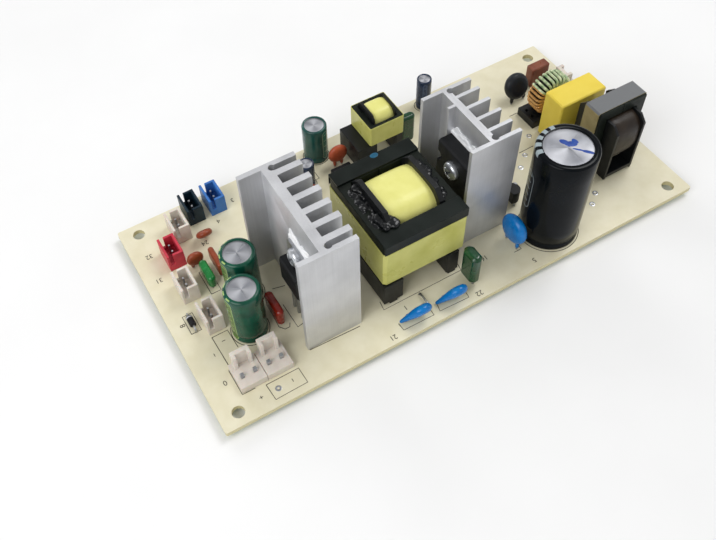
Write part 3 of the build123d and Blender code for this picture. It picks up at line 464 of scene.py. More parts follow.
@dataclass(frozen=True)
class Nylon(Finish):
    """Moulded nylon: satin, and lit a little way into its walls."""

    specular: float = 0.3
    relief: float = 0.004
    glow: float = 0.12
    glow_depth: float = 0.6

    def extras(self, graph: Graph) -> dict[str, object]:
        """Lets light into the walls."""
        return {"Subsurface Weight": self.glow, "Subsurface Scale": self.glow_depth * MM}


@dataclass(frozen=True)
class Dip(Finish):
    """A dipped coating: thick and glossy, rounded by its own surface tension."""

    specular: float = 0.3
    coat: float = 0.15
    patch: float = 2.0
    grain: float = 1.0
    relief: float = 0.05


# Cream paper laminate, pressed: satin, with a fibrous speck that shows only close up
LAMINATE = Laminate("cream_laminate", "#E2DCC2", "#D9D2B4", 0.42, patch=5.0, grain=0.35,
                    relief=0.004)
# Screen-printed legend ink: thin, dull and olive-black over the cream
LEGEND = Finish("legend_ink", "#2E2B20", "#403C2E", 0.6, patch=1.0, relief=0.002)
# Tin solder, wave-soldered: bright and softly rippled
SOLDER = Finish("tin_solder", "#C4C6CA", "#AEB1B6", 0.28, metallic=1.0, grain=0.5, relief=0.03)
# Tinned copper lead wire: dull silver with drawing marks
TINNED = Finish("tinned_copper", "#C2C4C8", "#A3A6AB", 0.34, metallic=1.0, relief=0.004)
# Aluminium 6063, extruded, mill finish: pale, with die lines and hazy patches
EXTRUSION = Extruded("extruded_aluminium", "#D8D9DC", "#BCBDC0", 0.44, metallic=0.65,
                     patch=9.0, relief=0.006, wander=0.12)
# Zinc-plated steel screws: bright, slightly blue
PLATED = Finish("zinc_plated_steel", "#DADCE0", "#BDC1C7", 0.3, metallic=0.85, relief=0.004)
# Transfer-moulded epoxy package: near-black and matt, with a sandy die texture
EPOXY = Finish("moulded_epoxy", "#141517", "#1B1C1E", 0.5, specular=0.25, grain=0.18,
               relief=0.01)
# Silicone heat paste: white, wet and uneven
PASTE = Finish("heat_paste", "#FAFAFB", "#E4E7EA", 0.4, grain=0.9, relief=0.16)
# Manganese-zinc ferrite, sintered and ground: charcoal with a fine grain
FERRITE = Finish("sintered_ferrite", "#111612", "#1B211B", 0.46, specular=0.15, patch=5.0,
                 grain=0.3, relief=0.02, wander=0.12)
# Phenolic bobbin, compression-moulded: black with a low gloss
PHENOLIC = Finish("moulded_phenolic", "#101214", "#17191A", 0.38, specular=0.3, grain=0.5,
                  relief=0.008)
# Insulating varnish, brushed on and set in lumps: black and wet-looking
VARNISH = Finish("set_varnish", "#0A0C0E", "#101316", 0.24, specular=0.4, grain=1.6,
                 relief=0.06)
# Black polyester tape over the core halves: satin, laid loosely, so it ripples
STRAP_TAPE = Finish("black_strap_tape", "#0F1512", "#1A201D", 0.36, specular=0.16, patch=6.0,
                    grain=1.6, relief=0.02)
# Teal marking ink, dabbed on by hand: thin and dense
TEAL_INK = Finish("teal_ink", "#1B5E7C", "#16506C", 0.35, specular=0.3, patch=1.2)
# Blue marker ink soaked into the lid: dark where it lies thick
MARK_INK = Finish("marking_ink", "#17388A", "#1C4C9C", 0.35, specular=0.3, patch=1.2)
# Yellow polyester tape round a core: glossy, pulled tight, faintly wrinkled
CORE_TAPE = Taped("polyester_tape", "#D3D27C", "#BFBE62", 0.32, specular=0.35, coat=0.15,
                  patch=7.0, grain=2.5, relief=0.05)
# The same tape over a winding: paler where many layers lie over each other
COIL_TAPE = Taped("crowned_polyester_tape", "#E6E38C", "#DCD97C", 0.36, specular=0.3, coat=0.1,
                  patch=5.0, grain=2.0, relief=0.06, pitch=7.0, axis=0)
# Impregnated paper over the line filter's winding: dark brown, dull and lumpy
PAPER_WRAP = Finish("impregnated_wrap", "#241D18", "#31271D", 0.42, specular=0.3, patch=4.0,
                    grain=1.4, relief=0.06)
# Tan paper tape round the line filter: dull, with a ragged lower end
TAN_TAPE = Capped("tan_paper_tape", "#9A8C62", "#85774D", 0.4, specular=0.3, relief=0.04)
# Enamelled copper: orange-gold, glossy
COPPER = Finish("enamelled_copper", "#DCAE6C", "#BC8648", 0.28, metallic=0.45, coat=0.3,
                relief=0.002)
# Wire in green and cream insulation, extruded: soft gloss
GREEN_WIRE = Finish("insulated_wire", "#DADFB8", "#5E8A56", 0.38, patch=1.6, relief=0.004)
# Drawn aluminium can with a turned lid: pale, with a painted highlight in light and dark sectors
# round its centre
LID = TurnedWithPaintedSheen("turned_aluminium_painted_sheen", "#BDBEC3", "#8A8C92", 0.56, metallic=0.85, grain=0.3,
             relief=0.002)
# PVC and PET films, shrunk on: glossy and slightly uneven over the can
BULK_FILM = Sleeve("black_film", "#090C0F", "#0E1216", 0.16, specular=0.1, coat=0.0, patch=6.0,
                   grain=3.0, relief=0.03, ink="#98A4A8", ground="#0B0E11", print_turn=0.435,
                   print_width=4.8, print_top=10.4, print_end=25.0, line=0.24, rim_turn=0.335,
                   rim_reach=0.135, rim_top=0.5, rim_end=3.3, rim_dashes=19.0)
GREEN_FILM = Sleeve("green_film", "#0C5540", "#083F30", 0.2, grain=2.0, relief=0.02,
                    ink="#A3BE74", ground="#4E6E2E", radius=5.3, print_turn=0.53,
                    print_width=3.0, print_top=2.2, print_end=21.5, rim_turn=0.4,
                    rim_reach=0.17, rim_top=0.9, rim_end=1.4, rim_dashes=12.0)
TEAL_FILM = Sleeve("teal_film", "#22504B", "#1A403C", 0.2, ink="#8FA898", ground="#386A5E",
                   radius=4.1, print_turn=0.82, print_width=2.4, print_top=2.0, print_end=14.5,
                   dash_pitch=2.4)
NAVY_FILM = Sleeve("navy_film", "#26344E", "#1E2A40", 0.26, coat=0.15, patch=3.0, ink="#4F5F7C",
                   ground="#26344E", radius=2.5, print_turn=0.68, print_width=1.5,
                   print_top=1.6, print_end=11.6, dash_pitch=2.2)
# Polyester capacitor boxes, moulded and potted: smooth, with a low gloss
YELLOW_BOX = Finish("yellow_moulded_polyester", "#ECD556", "#E3C944", 0.38, specular=0.3,
                    patch=8.0, relief=0.004)
BROWN_BOX = Finish("brown_moulded_polyester", "#87503C", "#703E2F", 0.34, specular=0.3)
# Phenolic and epoxy coats, dipped: thick, soft-edged and glossy
BLUE_DIP = Dip("blue_phenolic_dip", "#0478C4", "#0566AE", 0.24, patch=2.2, grain=1.2)
ORANGE_DIP = Dip("orange_phenolic_dip", "#B8583C", "#A24A30", 0.4, coat=0.1)
BROWN_DIP = Dip("brown_phenolic_dip", "#96472A", "#7C361E", 0.36, grain=0.9)
RED_DIP = Dip("red_epoxy_dip", "#962817", "#7A1B0D", 0.26, specular=0.4, coat=0.2, patch=2.4)
GREEN_DIP = Dip("green_epoxy_dip", "#18803A", "#126A2E", 0.26, specular=0.4, coat=0.2,
                patch=2.2, relief=0.04)
DARK_GREEN_DIP = Dip("dark_green_epoxy_dip", "#124728", "#0C351C", 0.2, specular=0.4,
                     coat=0.2, grain=1.2)
BLACK_DIP = Dip("black_epoxy_dip", "#1C2026", "#14171B", 0.42, coat=0.0, grain=0.8, relief=0.04)
# Nylon wire headers, moulded: satin, and a little see-through where they are pale
WHITE_NYLON = Nylon("moulded_white_nylon", "#DCD4CA", "#D0C7BC", 0.42)
BLACK_NYLON = Nylon("moulded_black_nylon", "#0F2836", "#0B1F2B", 0.4, specular=0.25, glow=0.0)
BLUE_NYLON = Nylon("moulded_blue_nylon", "#3A74BC", "#3266AA", 0.4, glow=0.05)
RED_NYLON = Nylon("moulded_red_nylon", "#C83C4C", "#B43242", 0.4, glow=0.05)
# Lacquer on the resistor's body, baked, and the paint of its bands: smooth and glossy
BLUE_LACQUER = Finish("blue_lacquer", "#5E9BC4", "#5089B0", 0.35, coat=0.3)
BAND_PAINT = Finish("band_paint", "#B9BCC0", "#A9ACB0", 0.4)
# Studio paper, rolled: matt, pale and even
FLOOR = Finish("studio_floor", "#F0F0F0", "#ECECEC", 0.9, patch=60.0, relief=0.0)


@dataclass(frozen=True)
class Span:
    """The upright box round a CAD node or some points, in metres."""

    low: Vector
    high: Vector

    @classmethod
    def node(cls, name: str) -> "Span":
        """Returns the box of a CAD node."""
        return cls(*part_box(name))

    @classmethod
    def points(cls, points: Iterable[Vector]) -> "Span":
        """Returns the box of some points.

        Args:
            points: The points, in metres.

        Returns:
            Their box.
        """
        held = list(points)
        return cls(Vector(min(p[i] for p in held) for i in range(3)),
                   Vector(max(p[i] for p in held) for i in range(3)))

    @property
    def size(self) -> Vector:
        """Returns its three sizes."""
        return self.high - self.low

    @property
    def middle(self) -> Vector:
        """Returns its middle."""
        return (self.low + self.high) / 2

    @property
    def foot(self) -> Vector:
        """Returns the middle of its underside."""
        return Vector((*self.middle.xy, self.low.z))

    @property
    def head(self) -> Vector:
        """Returns the middle of its top."""
        return Vector((*self.middle.xy, self.high.z))


def linked(name: str, data: bpy.types.ID) -> Piece:
    """Puts data into the scene as an object.

    Args:
        name: The piece's name.
        data: Its mesh or curve.

    Returns:
        The new object.
    """
    piece = bpy.data.objects.new(name, data)
    bpy.context.scene.collection.objects.link(piece)
    return piece


def as_object(name: str, form: Form, angle: float = SHARP_ANGLE) -> Piece:
    """Turns a form into an object, smooth but for edges sharper than an angle.

    Args:
        name: The object's name.
        form: The mesh in the part's frame, in metres. It is freed.
        angle: The sharpest smooth edge, in degrees.

    Returns:
        The object, linked to the scene.
    """
    mesh = bpy.data.meshes.new(name)
    form.to_mesh(mesh)
    form.free()
    mesh.shade_smooth()
    mesh.set_sharp_from_angle(angle=math.radians(angle))
    return linked(name, mesh)


def baked(piece: Piece) -> Mesh:
    """Returns a piece's shape as a mesh, after its modifiers."""
    graph = bpy.context.evaluated_depsgraph_get()
    return bpy.data.meshes.new_from_object(piece.evaluated_get(graph), depsgraph=graph)


def settled(piece: Piece) -> Piece:
    """Makes a piece's modifiers part of its mesh.

    Args:
        piece: The piece, with live modifiers.

    Returns:
        The piece, without modifiers.
    """
    mesh = baked(piece)
    piece.modifiers.clear()
    piece.data = mesh
    return piece


def cad_copy(*nodes: str, reach: float = 2 * MERGE) -> Form:
    """Returns a copy of CAD nodes, whose corners nearer than a reach are merged.

    Args:
        nodes: The CAD nodes' names.
        reach: How near, in metres.

    Returns:
        The merged copy.
    """
    form = bmesh.new()
    for node in nodes:
        form.from_mesh(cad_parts[node].data)
    bmesh.ops.remove_doubles(form, verts=form.verts, dist=reach)
    return form


def islands(node: str) -> list[list[Vector]]:
    """Returns the corners of each separate solid in a CAD node, from left to right.

    Args:
        node: The CAD node's name.

    Returns:
        One list of corners for each solid.
    """
    form = cad_copy(node, reach=MERGE)
    left = set(form.verts)
    found = []
    while left:
        edge = [left.pop()]
        solid = []
        while edge:
            vertex = edge.pop()
            solid.append(vertex.co.copy())
            near = {link.other_vert(vertex) for link in vertex.link_edges} & left
            left -= near
            edge.extend(near)
        found.append(solid)
    form.free()
    return sorted(found, key=lambda solid: min(point.x for point in solid))


def soften(piece: Piece, ease: Ease) -> Piece:
    """Rounds a piece's sharp edges, as a mould or a tumbler leaves them.

    Args:
        piece: The piece to round.
        ease: The width of its rounding.

    Returns:
        The same piece.
    """
    bevel = piece.modifiers.new("ease", "BEVEL")
    bevel.width = ease.value * MM
    bevel.segments = 2
    bevel.limit_method = "ANGLE"
    bevel.angle_limit = math.radians(SHARP_ANGLE)
    bevel.harden_normals = True
    return settled(piece)


def drawn(name: str, form: Form, voxel: float, rounds: int) -> Piece:
    """Makes a body whose parts run into each other, as a thick coating sets.

    Args:
        name: The piece's name.
        form: The mesh under the coating. It is freed.
        voxel: The size of the new mesh's squares in mm.
        rounds: How often the surface is drawn together.

    Returns:
        The piece.
    """
    piece = as_object(name, form)
    remesh = piece.modifiers.new("skin", "REMESH")
    remesh.mode = "VOXEL"
    remesh.voxel_size = voxel * MM
    smooth = piece.modifiers.new("draw", "SMOOTH")
    smooth.factor = 0.5
    smooth.iterations = rounds
    settled(piece).data.shade_smooth()
    return piece


def uv_layer(form: Form) -> bmesh.types.BMLayerItem:
    """Returns the layer of a form's UV, made where there is none."""
    return form.loops.layers.uv.get(UV_NAME) or form.loops.layers.uv.new(UV_NAME)


def ball(form: Form, place: Matrix, radii: Vector) -> None:
    """Adds a ball with three radii in mm at a place."""
    size = Matrix.Diagonal((*(radii * MM), 1.0))
    bmesh.ops.create_icosphere(form, subdivisions=3, radius=1.0, matrix=place @ size)


def facing_left(point: Vector) -> Matrix:
    """Returns a place at a point, whose Z axis points to the part's left."""
    return Matrix.Translation(point) @ Matrix.Rotation(-math.pi / 2, 4, "Y")


def lathe(form: Form, profile: Sequence[Point], place: Matrix, steps: int = 64) -> None:
    """Adds a turned shape round the Z axis of a place.

    Its UV is the turns, and the way back from the profile's end in tenths of a metre.

    Args:
        form: The mesh that it is added to.
        profile: Radius and height in mm, upwards along the outside.
        place: Where the axis stands, in metres.
        steps: The faces round it.
    """
    layer = uv_layer(form)
    steps_back = [math.dist(a, b) for a, b in zip(profile, profile[1:])]
    runs = [sum(steps_back[j:]) / UV_SCALE for j in range(len(profile))]
    rings = []
    for radius, height in profile:
        turns = [math.tau * i / steps for i in range(steps if radius else 1)]
        rings.append([form.verts.new(place @ Vector((
            radius * MM * math.cos(a), radius * MM * math.sin(a), height * MM))) for a in turns])
    for j, (lower, upper) in enumerate(zip(rings, rings[1:])):
        for i in range(steps):
            corners = [(lower, i, j), (lower, i + 1, j), (upper, i + 1, j + 1), (upper, i, j + 1)]
            if len(lower) == 1:
                corners.pop(1)
            elif len(upper) == 1:
                corners.pop(2)
            face = form.faces.new([ring[k % len(ring)] for ring, k, _ in corners])
            for loop, (_, k, row) in zip(face.loops, corners):
                loop[layer].uv = (k / steps, runs[row])


def prism(form: Form, outline: Sequence[Point], low: float, high: float,
          place: Matrix) -> None:
    """Adds an outline in mm, drawn out from low to high along the Z axis of a place.

    Args:
        form: The mesh under construction.
        outline: The corners, in mm.
        low: Where it starts, in mm.
        high: Where it ends, in mm.
        place: Where it stands in the part's frame.
    """
    rings = [[form.verts.new(place @ Vector((x * MM, y * MM, z * MM))) for x, y in outline]
             for z in (low, high)]
    close_rings(form, rings)


def close_rings(form: Form, rings: Sequence[Sequence[bmesh.types.BMVert]]) -> None:
    """Closes both ends of a row of rings of corners, and fills between them.

    Args:
        form: The mesh under construction.
        rings: The corners of each ring, in order.
    """
    form.faces.new(rings[0][::-1])
    form.faces.new(rings[-1])
    for first, second in zip(rings, rings[1:]):
        for i, corner in enumerate(first):
            after = (i + 1) % len(first)
            form.faces.new((corner, first[after], second[after], second[i]))


def path_mesh(name: str, paths: Iterable[Sequence[Vector]]) -> Mesh:
    """Makes a mesh of open runs of edges, each through its points in metres.

    Args:
        name: The mesh's name.
        paths: The points of each run.

    Returns:
        The mesh.
    """
    points, edges = [], []
    for path in paths:
        first = len(points)
        points.extend(tuple(point) for point in path)
        edges.extend((i, i + 1) for i in range(first, len(points) - 1))
    mesh = bpy.data.meshes.new(name)
    mesh.from_pydata(points, edges, [])
    return mesh


def dress(piece: Piece, finish: Finish, slot: str, *stands_for: str) -> Piece:
    """Gives a finished piece its material, its body and the CAD nodes it stands for.

    Args:
        piece: The piece, in place.
        finish: Its finish.
        slot: The record's material slot; not used.
        *stands_for: CAD nodes that it replaces.

    Returns:
        The piece.
    """
    piece.data.materials.clear()
    piece.data.materials.append(finish.material())
    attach(piece, "root")
    if stands_for:
        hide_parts(*stands_for)
    LOG.info("%s: %d faces", piece.name, len(piece.data.polygons))
    return piece


def ease_node(name: str, node: str, ease: Ease, finish: Finish, slot: str) -> None:
    """Stands a copy with rounded edges in for a CAD node.

    Args:
        name: The piece's name.
        node: The CAD node.
        ease: How far the edges are rounded.
        finish: The piece's finish.
        slot: The record's material slot.
    """
    form = cad_copy(node)
    bmesh.ops.dissolve_limit(form, angle_limit=math.radians(FLAT_ANGLE), verts=form.verts,
                             edges=form.edges)
    dress(soften(as_object(name, form), ease), finish, slot, node)


def dab_ink(name: str, spot: Vector, dabs: Iterable[Sequence[float]], thick: float,
            finish: Finish) -> None:
    """Dabs ink on a flat top.

    Args:
        name: The piece's name.
        spot: The place that the dabs are measured from, in metres.
        dabs: Each one's way along and across in mm, turn in degrees and two radii in mm.
        thick: Their third radius in mm.
        finish: The ink.
    """
    form = bmesh.new()
    for along, across, turn, reach, width in dabs:
        place = Matrix.Translation(spot + Vector((along, across, 0.0)) * MM)
        ball(form, place @ Matrix.Rotation(math.radians(turn), 4, "Z"),
             Vector((reach, width, thick)))
    dress(as_object(name, form, DAB_ANGLE), finish, "blue_body")


def keep(node: str, finish: Finish) -> None:
    """Gives a CAD node that is carried over its material.

    Args:
        node: The CAD node's name.
        finish: The finish it takes.
    """
    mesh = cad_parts[node].data
    mesh.materials.clear()
    mesh.materials.append(finish.material())
    LOG.info("%s: carried over", node)


class Grower(Graph):
    """A Geometry Nodes tree with named inputs that grows a piece from a seed mesh."""

    def __init__(self, name: str, **inputs: float | int) -> None:
        """Starts the tree.

        Args:
            name: The tree's name.
            **inputs: Each input's name and its default: a whole number, a length in metres,
                an angle or a share.
        """
        super().__init__(bpy.data.node_groups.new(name, "GeometryNodeTree"))
        sockets = self.tree.interface
        sockets.new_socket("Geometry", in_out="INPUT", socket_type="NodeSocketGeometry")
        sockets.new_socket("Geometry", in_out="OUTPUT", socket_type="NodeSocketGeometry")
        for label, default in inputs.items():
            kind = "NodeSocketInt" if isinstance(default, int) else "NodeSocketFloat"
            socket = sockets.new_socket(label, in_out="INPUT", socket_type=kind)
            socket.default_value = default
        sockets.new_socket("Material", in_out="INPUT", socket_type="NodeSocketMaterial")
        self.given = self.add("NodeGroupInput")

    def end(self, shape: Node) -> "Grower":
        """Ends the tree: its instances are realised and given their material.

        Args:
            shape: The last node of the shape.

        Returns:
            The tree itself.
        """
        real = self.add("GeometryNodeRealizeInstances", (shape,))
        dressed = self.add("GeometryNodeSetMaterial", {
            "Geometry": real, "Material": self.given.outputs["Material"]})
        self.add("NodeGroupOutput", (dressed,))
        return self

    def grow(self, name: str, seed: Mesh, finish: Finish, slot: str, *stands_for: str,
             **values: float | int) -> Piece:
        """Grows and dresses a piece, and leaves a plain mesh.

        Args:
            name: The piece's name.
            seed: The mesh that the tree reads.
            finish: The piece's finish.
            slot: The record's material slot.
            *stands_for: CAD nodes that it replaces.
            **values: The tree's inputs by their names.

        Returns:
            The piece, without its modifier.
        """
        piece = linked(name, seed)
        modifier = piece.modifiers.new(self.tree.name, "NODES")
        modifier.node_group = self.tree
        values["Material"] = finish.material()
        for item in self.tree.interface.items_tree:
            if item.in_out == "INPUT" and item.name in values:
                modifier[item.identifier] = values[item.name]
        return dress(settled(piece), finish, slot, *stands_for)


def wire_grower() -> Grower:
    """Builds the tree that turns runs of edges into wire with rounded bends.

    Returns:
        The finished tree.
    """
    grower = Grower("wire", Radius=0.3 * MM, Bend=0.5 * MM, Sides=14)
    given = grower.given.outputs
    runs = grower.add("GeometryNodeMeshToCurve", (given["Geometry"],))
    bent = grower.add("GeometryNodeFilletCurve", {
        "Curve": runs, "Count": 4, "Radius": given["Bend"], "Limit Radius": True}, mode="POLY")
    ring = grower.add("GeometryNodeCurvePrimitiveCircle", {
        "Resolution": given["Sides"], "Radius": given["Radius"]})
    swept = grower.add("GeometryNodeCurveToMesh", {
        "Curve": bent, "Profile Curve": ring, "Fill Caps": True})
    return grower.end(grower.add("GeometryNodeSetShadeSmooth", (swept,)))


def print_grower() -> Grower:
    """Builds the tree that turns runs of edges into flat printed lines.

    Returns:
        The finished tree.
    """
    grower = Grower("print", Width=0.2 * MM, Thickness=0.02 * MM)
    given = grower.given.outputs
    runs = grower.add("GeometryNodeMeshToCurve", (given["Geometry"],))
    level = grower.add("GeometryNodeSetCurveNormal", (runs,), mode="Z_UP")
    strip = grower.add("GeometryNodeCurvePrimitiveQuadrilateral", {
        "Width": given["Width"], "Height": given["Thickness"]})
    return grower.end(grower.add("GeometryNodeCurveToMesh", {
        "Curve": level, "Profile Curve": strip, "Fill Caps": True}))


def turns_grower() -> Grower:
    """Builds the tree that winds turns of wire round an arc of a ring in the XY plane.

    Returns:
        The finished tree.
    """
    grower = Grower("turns", Turns=9, Ring=5.0 * MM, Start=0.0, Sweep=2.0, Across=3.0 * MM,
                    Along=4.8 * MM, Corner=1.1 * MM, Wire=0.4 * MM, Stray=0.06, Seed=7)
    given = grower.given.outputs
    arc = grower.add("GeometryNodeCurveArc", {
        "Resolution": 96, "Radius": given["Ring"], "Start Angle": given["Start"],
        "Sweep Angle": given["Sweep"]}, mode="RADIUS")
    seats = grower.add("GeometryNodeCurveToPoints", {
        "Curve": arc, "Count": given["Turns"]}, mode="COUNT")
    section = grower.add("GeometryNodeCurvePrimitiveQuadrilateral", {
        "Width": given["Across"], "Height": given["Along"]})
    rounded = grower.add("GeometryNodeFilletCurve", {
        "Curve": section, "Count": 5, "Radius": given["Corner"], "Limit Radius": True},
        mode="POLY")
    ring = grower.add("GeometryNodeCurvePrimitiveCircle", {
        "Resolution": 10, "Radius": given["Wire"]})
    turn = grower.add("GeometryNodeCurveToMesh", {"Curve": rounded, "Profile Curve": ring})
    back = grower.add(MATH, (given["Stray"], -1.0), operation="MULTIPLY")
    stray = grower.add("FunctionNodeRandomValue", {
        0: grower.add(COMBINE, {1: back}), 1: grower.add(COMBINE, {1: given["Stray"]}),
        "Seed": given["Seed"]}, data_type="FLOAT_VECTOR")
    turned = grower.add("FunctionNodeRotateRotation", (seats.outputs["Rotation"], stray),
                        rotation_space="LOCAL")
    laid = grower.add("GeometryNodeInstanceOnPoints", {
        "Points": seats, "Instance": turn, "Rotation": turned})
    return grower.end(grower.add("GeometryNodeSetShadeSmooth", (laid,)))


def joint_grower() -> Grower:
    """Builds the tree that sets a solder joint under each point: a flare and a clipped tip.

    Returns:
        The finished tree.
    """
    grower = Grower("joints", Tip=0.4 * MM, Pad=0.75 * MM, Drop=1.8 * MM, Waist=1.15, Sides=14)
    given = grower.given.outputs
    waist = grower.add(MATH, (given["Tip"], given["Waist"]), operation="MULTIPLY")
    half = grower.add(MATH, (given["Drop"], 0.5), operation="MULTIPLY")
    both = grower.add("GeometryNodeJoinGeometry")
    for bottom, top, share in ((given["Tip"], waist, -1.0), (waist, given["Pad"], -0.5)):
        cone = grower.add("GeometryNodeMeshCone", {
            "Vertices": given["Sides"], "Radius Top": top, "Radius Bottom": bottom,
            "Depth": half})
        drop = grower.add(MATH, (given["Drop"], share), operation="MULTIPLY")
        grower.feed(both, (grower.add("GeometryNodeTransform", {
            "Geometry": cone, "Translation": grower.add(COMBINE, {2: drop})}),))
    smooth = grower.add("GeometryNodeSetShadeSmooth", (both,))
    return grower.end(grower.add("GeometryNodeInstanceOnPoints", {
        "Points": given["Geometry"], "Instance": smooth}))


@dataclass
class Board:
    """The printed board: laminate, legend, leads and solder joints.

    Legend places are in mm from the board's front left corner.
    """

    length: float = 164.0
    width: float = 80.0
    line: float = 0.22
    ink: float = 0.03
    lead_radius: float = 0.32
    lead_bend: float = 0.9
    joint_tip: float = 0.42
    outlines: tuple[tuple[Point, ...], ...] = (
        ((9.6, 29.3), (14.6, 29.3), (14.75, 22.6)),
        ((9.6, 29.3), (9.8, 18.7)),
        ((16.1, 7.6), (26.4, 7.6), (26.5, 2.4), (16.4, 2.2), (16.1, 7.6)),
        ((9.1, 17.1), (9.1, 8.3), (13.1, 8.3)),
        ((28.4, 28.2), (28.0, 22.4), (29.2, 20.8), (30.7, 20.8), (31.4, 22.0)),
        ((32.5, 35.2), (36.3, 34.3)),
        ((34.6, 19.9), (32.7, 19.5), (32.6, 28.6)),
        ((16.0, 43.1), (19.2, 43.1), (19.2, 52.3), (16.0, 52.3), (16.0, 43.1)),
        ((58.1, 5.3), (58.3, 2.7), (68.5, 2.5), (68.6, 5.6)),
        ((71.5, 5.9), (70.7, 2.7), (80.6, 2.3), (80.9, 5.4)),
        ((101.6, 8.5), (104.2, 8.5), (104.2, 15.6)),
        ((57.5, 14.5), (57.0, 11.5), (84.2, 11.5), (85.1, 17.0)),
        ((90.4, 20.5), (104.7, 20.4)),
        ((127.5, 40.3), (133.3, 40.4)),
        ((48.2, 10.4), (32.0, 11.0)),
        ((135.0, 55.6), (157.0, 55.6), (157.0, 61.0)),
        ((117.6, 36.5), (117.6, 44.5), (122.4, 44.5)),
        ((60.2, 66.0), (66.0, 66.0), (66.0, 72.0)),
        ((5.0, 33.4), (5.0, 40.2), (8.2, 40.2), (8.2, 33.4), (5.0, 33.4)),
        ((84.6, 55.0), (92.0, 55.0)),
        ((43.0, 74.5), (52.0, 74.5), (52.0, 70.0)),
    )
    pads: tuple[Point, ...] = (
        (124.1, 34.9), (118.1, 30.1), (128.6, 38.6), (135.0, 44.8), (137.2, 13.9),
        (133.5, 10.9), (18.6, 4.9),
    )
    numbers: tuple[tuple[str, float, float, float], ...] = (
        ("3", 37.4, 72.9, 180.0), ("24", 22.4, 61.7, 180.0), ("8", 4.0, 37.4, 90.0),
        ("0", 6.5, 14.1, 180.0), ("+", 13.2, 5.0, 180.0), ("−", 7.9, 23.7, 90.0),
        ("16", 92.6, 11.5, 180.0), ("5", 104.9, 3.1, 180.0), ("1", 62.8, 8.9, 180.0),
        ("−", 23.3, 5.1, 90.0), ("−", 12.1, 26.5, 0.0), ("21", 54.4, 2.2, 180.0),
        ("22", 84.0, 1.9, 180.0), ("31", 4.3, 56.0, 180.0), ("32", 5.2, 66.0, 180.0),
        ("4", 29.8, 67.4, 180.0), ("7", 52.0, 66.0, 180.0), ("12", 78.0, 51.5, 180.0),
        ("9", 97.0, 71.0, 180.0), ("14", 121.0, 70.0, 180.0), ("2", 126.0, 26.0, 90.0),
        ("41", 127.0, 60.5, 180.0), ("6", 44.0, 52.0, 90.0),
    )
    number_size: float = 2.3
    ring_room: float = 0.45
    ring_steps: int = 48
    pad_profile: tuple[Point, ...] = (
        (0.35, 0.0), (0.95, 0.0), (0.9, 0.03), (0.4, 0.03), (0.35, 0.0),
    )
    pad_rise: float = 0.002
    pad_steps: int = 20
    base_height: float = 0.2
    straight_width: float = 1.2
    canned: tuple[str, ...] = (
        "bulk_capacitor_sleeve", "output_capacitor_sleeves", "teal_capacitor_sleeve",
        "navy_capacitor_sleeves",
    )

    def spot(self, place: Point, rise: float) -> Vector:
        """Returns a place on the board's top in the part's frame, in metres.

        Args:
            place: The place on the board, in mm.
            rise: How far above it, in mm.

        Returns:
            The place in the part's frame.
        """
        top = Span.node("circuit_board").high.z
        return Vector(((place[0] - self.length / 2) * MM, (place[1] - self.width / 2) * MM,
                       top + rise * MM))

    def rings(self) -> list[list[Vector]]:
        """Returns a ring round each can, smaller where the board would cut it.

        Returns:
            The corners of each ring, in metres.
        """
        edge = Span.node("circuit_board").high
        found = []
        for node in self.canned:
            for solid in islands(node):
                span = Span.points(solid)
                middle = span.middle
                radius = min(span.size.x / 2 + self.ring_room * MM,
                             edge.y - middle.y - self.line * MM)
                turns = (math.tau * i / self.ring_steps for i in range(self.ring_steps + 1))
                found.append([Vector((middle.x + radius * math.cos(a),
                                      middle.y + radius * math.sin(a),
                                      edge.z + self.ink / 2 * MM)) for a in turns])
        return found

    def legend(self) -> None:
        """Prints outlines, rings round the cans and plain numbers."""
        rise = self.ink / 2
        paths = [[self.spot(point, rise) for point in outline] for outline in self.outlines]
        print_grower().grow("legend_lines", path_mesh("legend_paths", paths + self.rings()),
                            LEGEND, "board", Width=self.line * MM, Thickness=self.ink * MM)
        form = bmesh.new()
        for text, x, y, turn in self.numbers:
            curve = bpy.data.curves.new("legend_number", "FONT")
            curve.body = text
            curve.size = self.number_size * MM
            curve.align_x = curve.align_y = "CENTER"
            curve.extrude = rise * MM
            letter = linked("legend_number", curve)
            mesh = baked(letter)
            mesh.transform(Matrix.Translation(self.spot((x, y), rise))
                           @ Matrix.Rotation(math.radians(turn), 4, "Z"))
            form.from_mesh(mesh)
            bpy.data.objects.remove(letter)
        dress(as_object("legend_numbers", form), LEGEND, "board")

    def empty_pads(self) -> None:
        """Sets small tinned rings where no lead goes."""
        form = bmesh.new()
        for pad in self.pads:
            lathe(form, self.pad_profile, Matrix.Translation(self.spot(pad, self.pad_rise)),
                  self.pad_steps)
        dress(as_object("empty_pads", form), TINNED, "solder")

    def lead_paths(self) -> list[list[Vector]]:
        """Follows each lead's solid with a line through its middle.

        Returns:
            The points of each line, in metres.
        """
        paths = []
        for solid in islands("component_leads"):
            span = Span.points(solid)
            base = span.low.z + self.base_height * MM
            foot = Span.points(point for point in solid if point.z < base).middle
            if max(span.size.xy) < self.straight_width * MM:
                paths.append([foot, Vector((*foot.xy, span.high.z))])
                continue
            head = span.high.z - self.lead_radius * MM
            far = max(solid, key=lambda point: (point.xy - foot.xy).length)
            end = (far.x, foot.y) if span.size.x > span.size.y else (foot.x, far.y)
            paths.append([foot, Vector((*foot.xy, head)), Vector((*end, head))])
        return paths

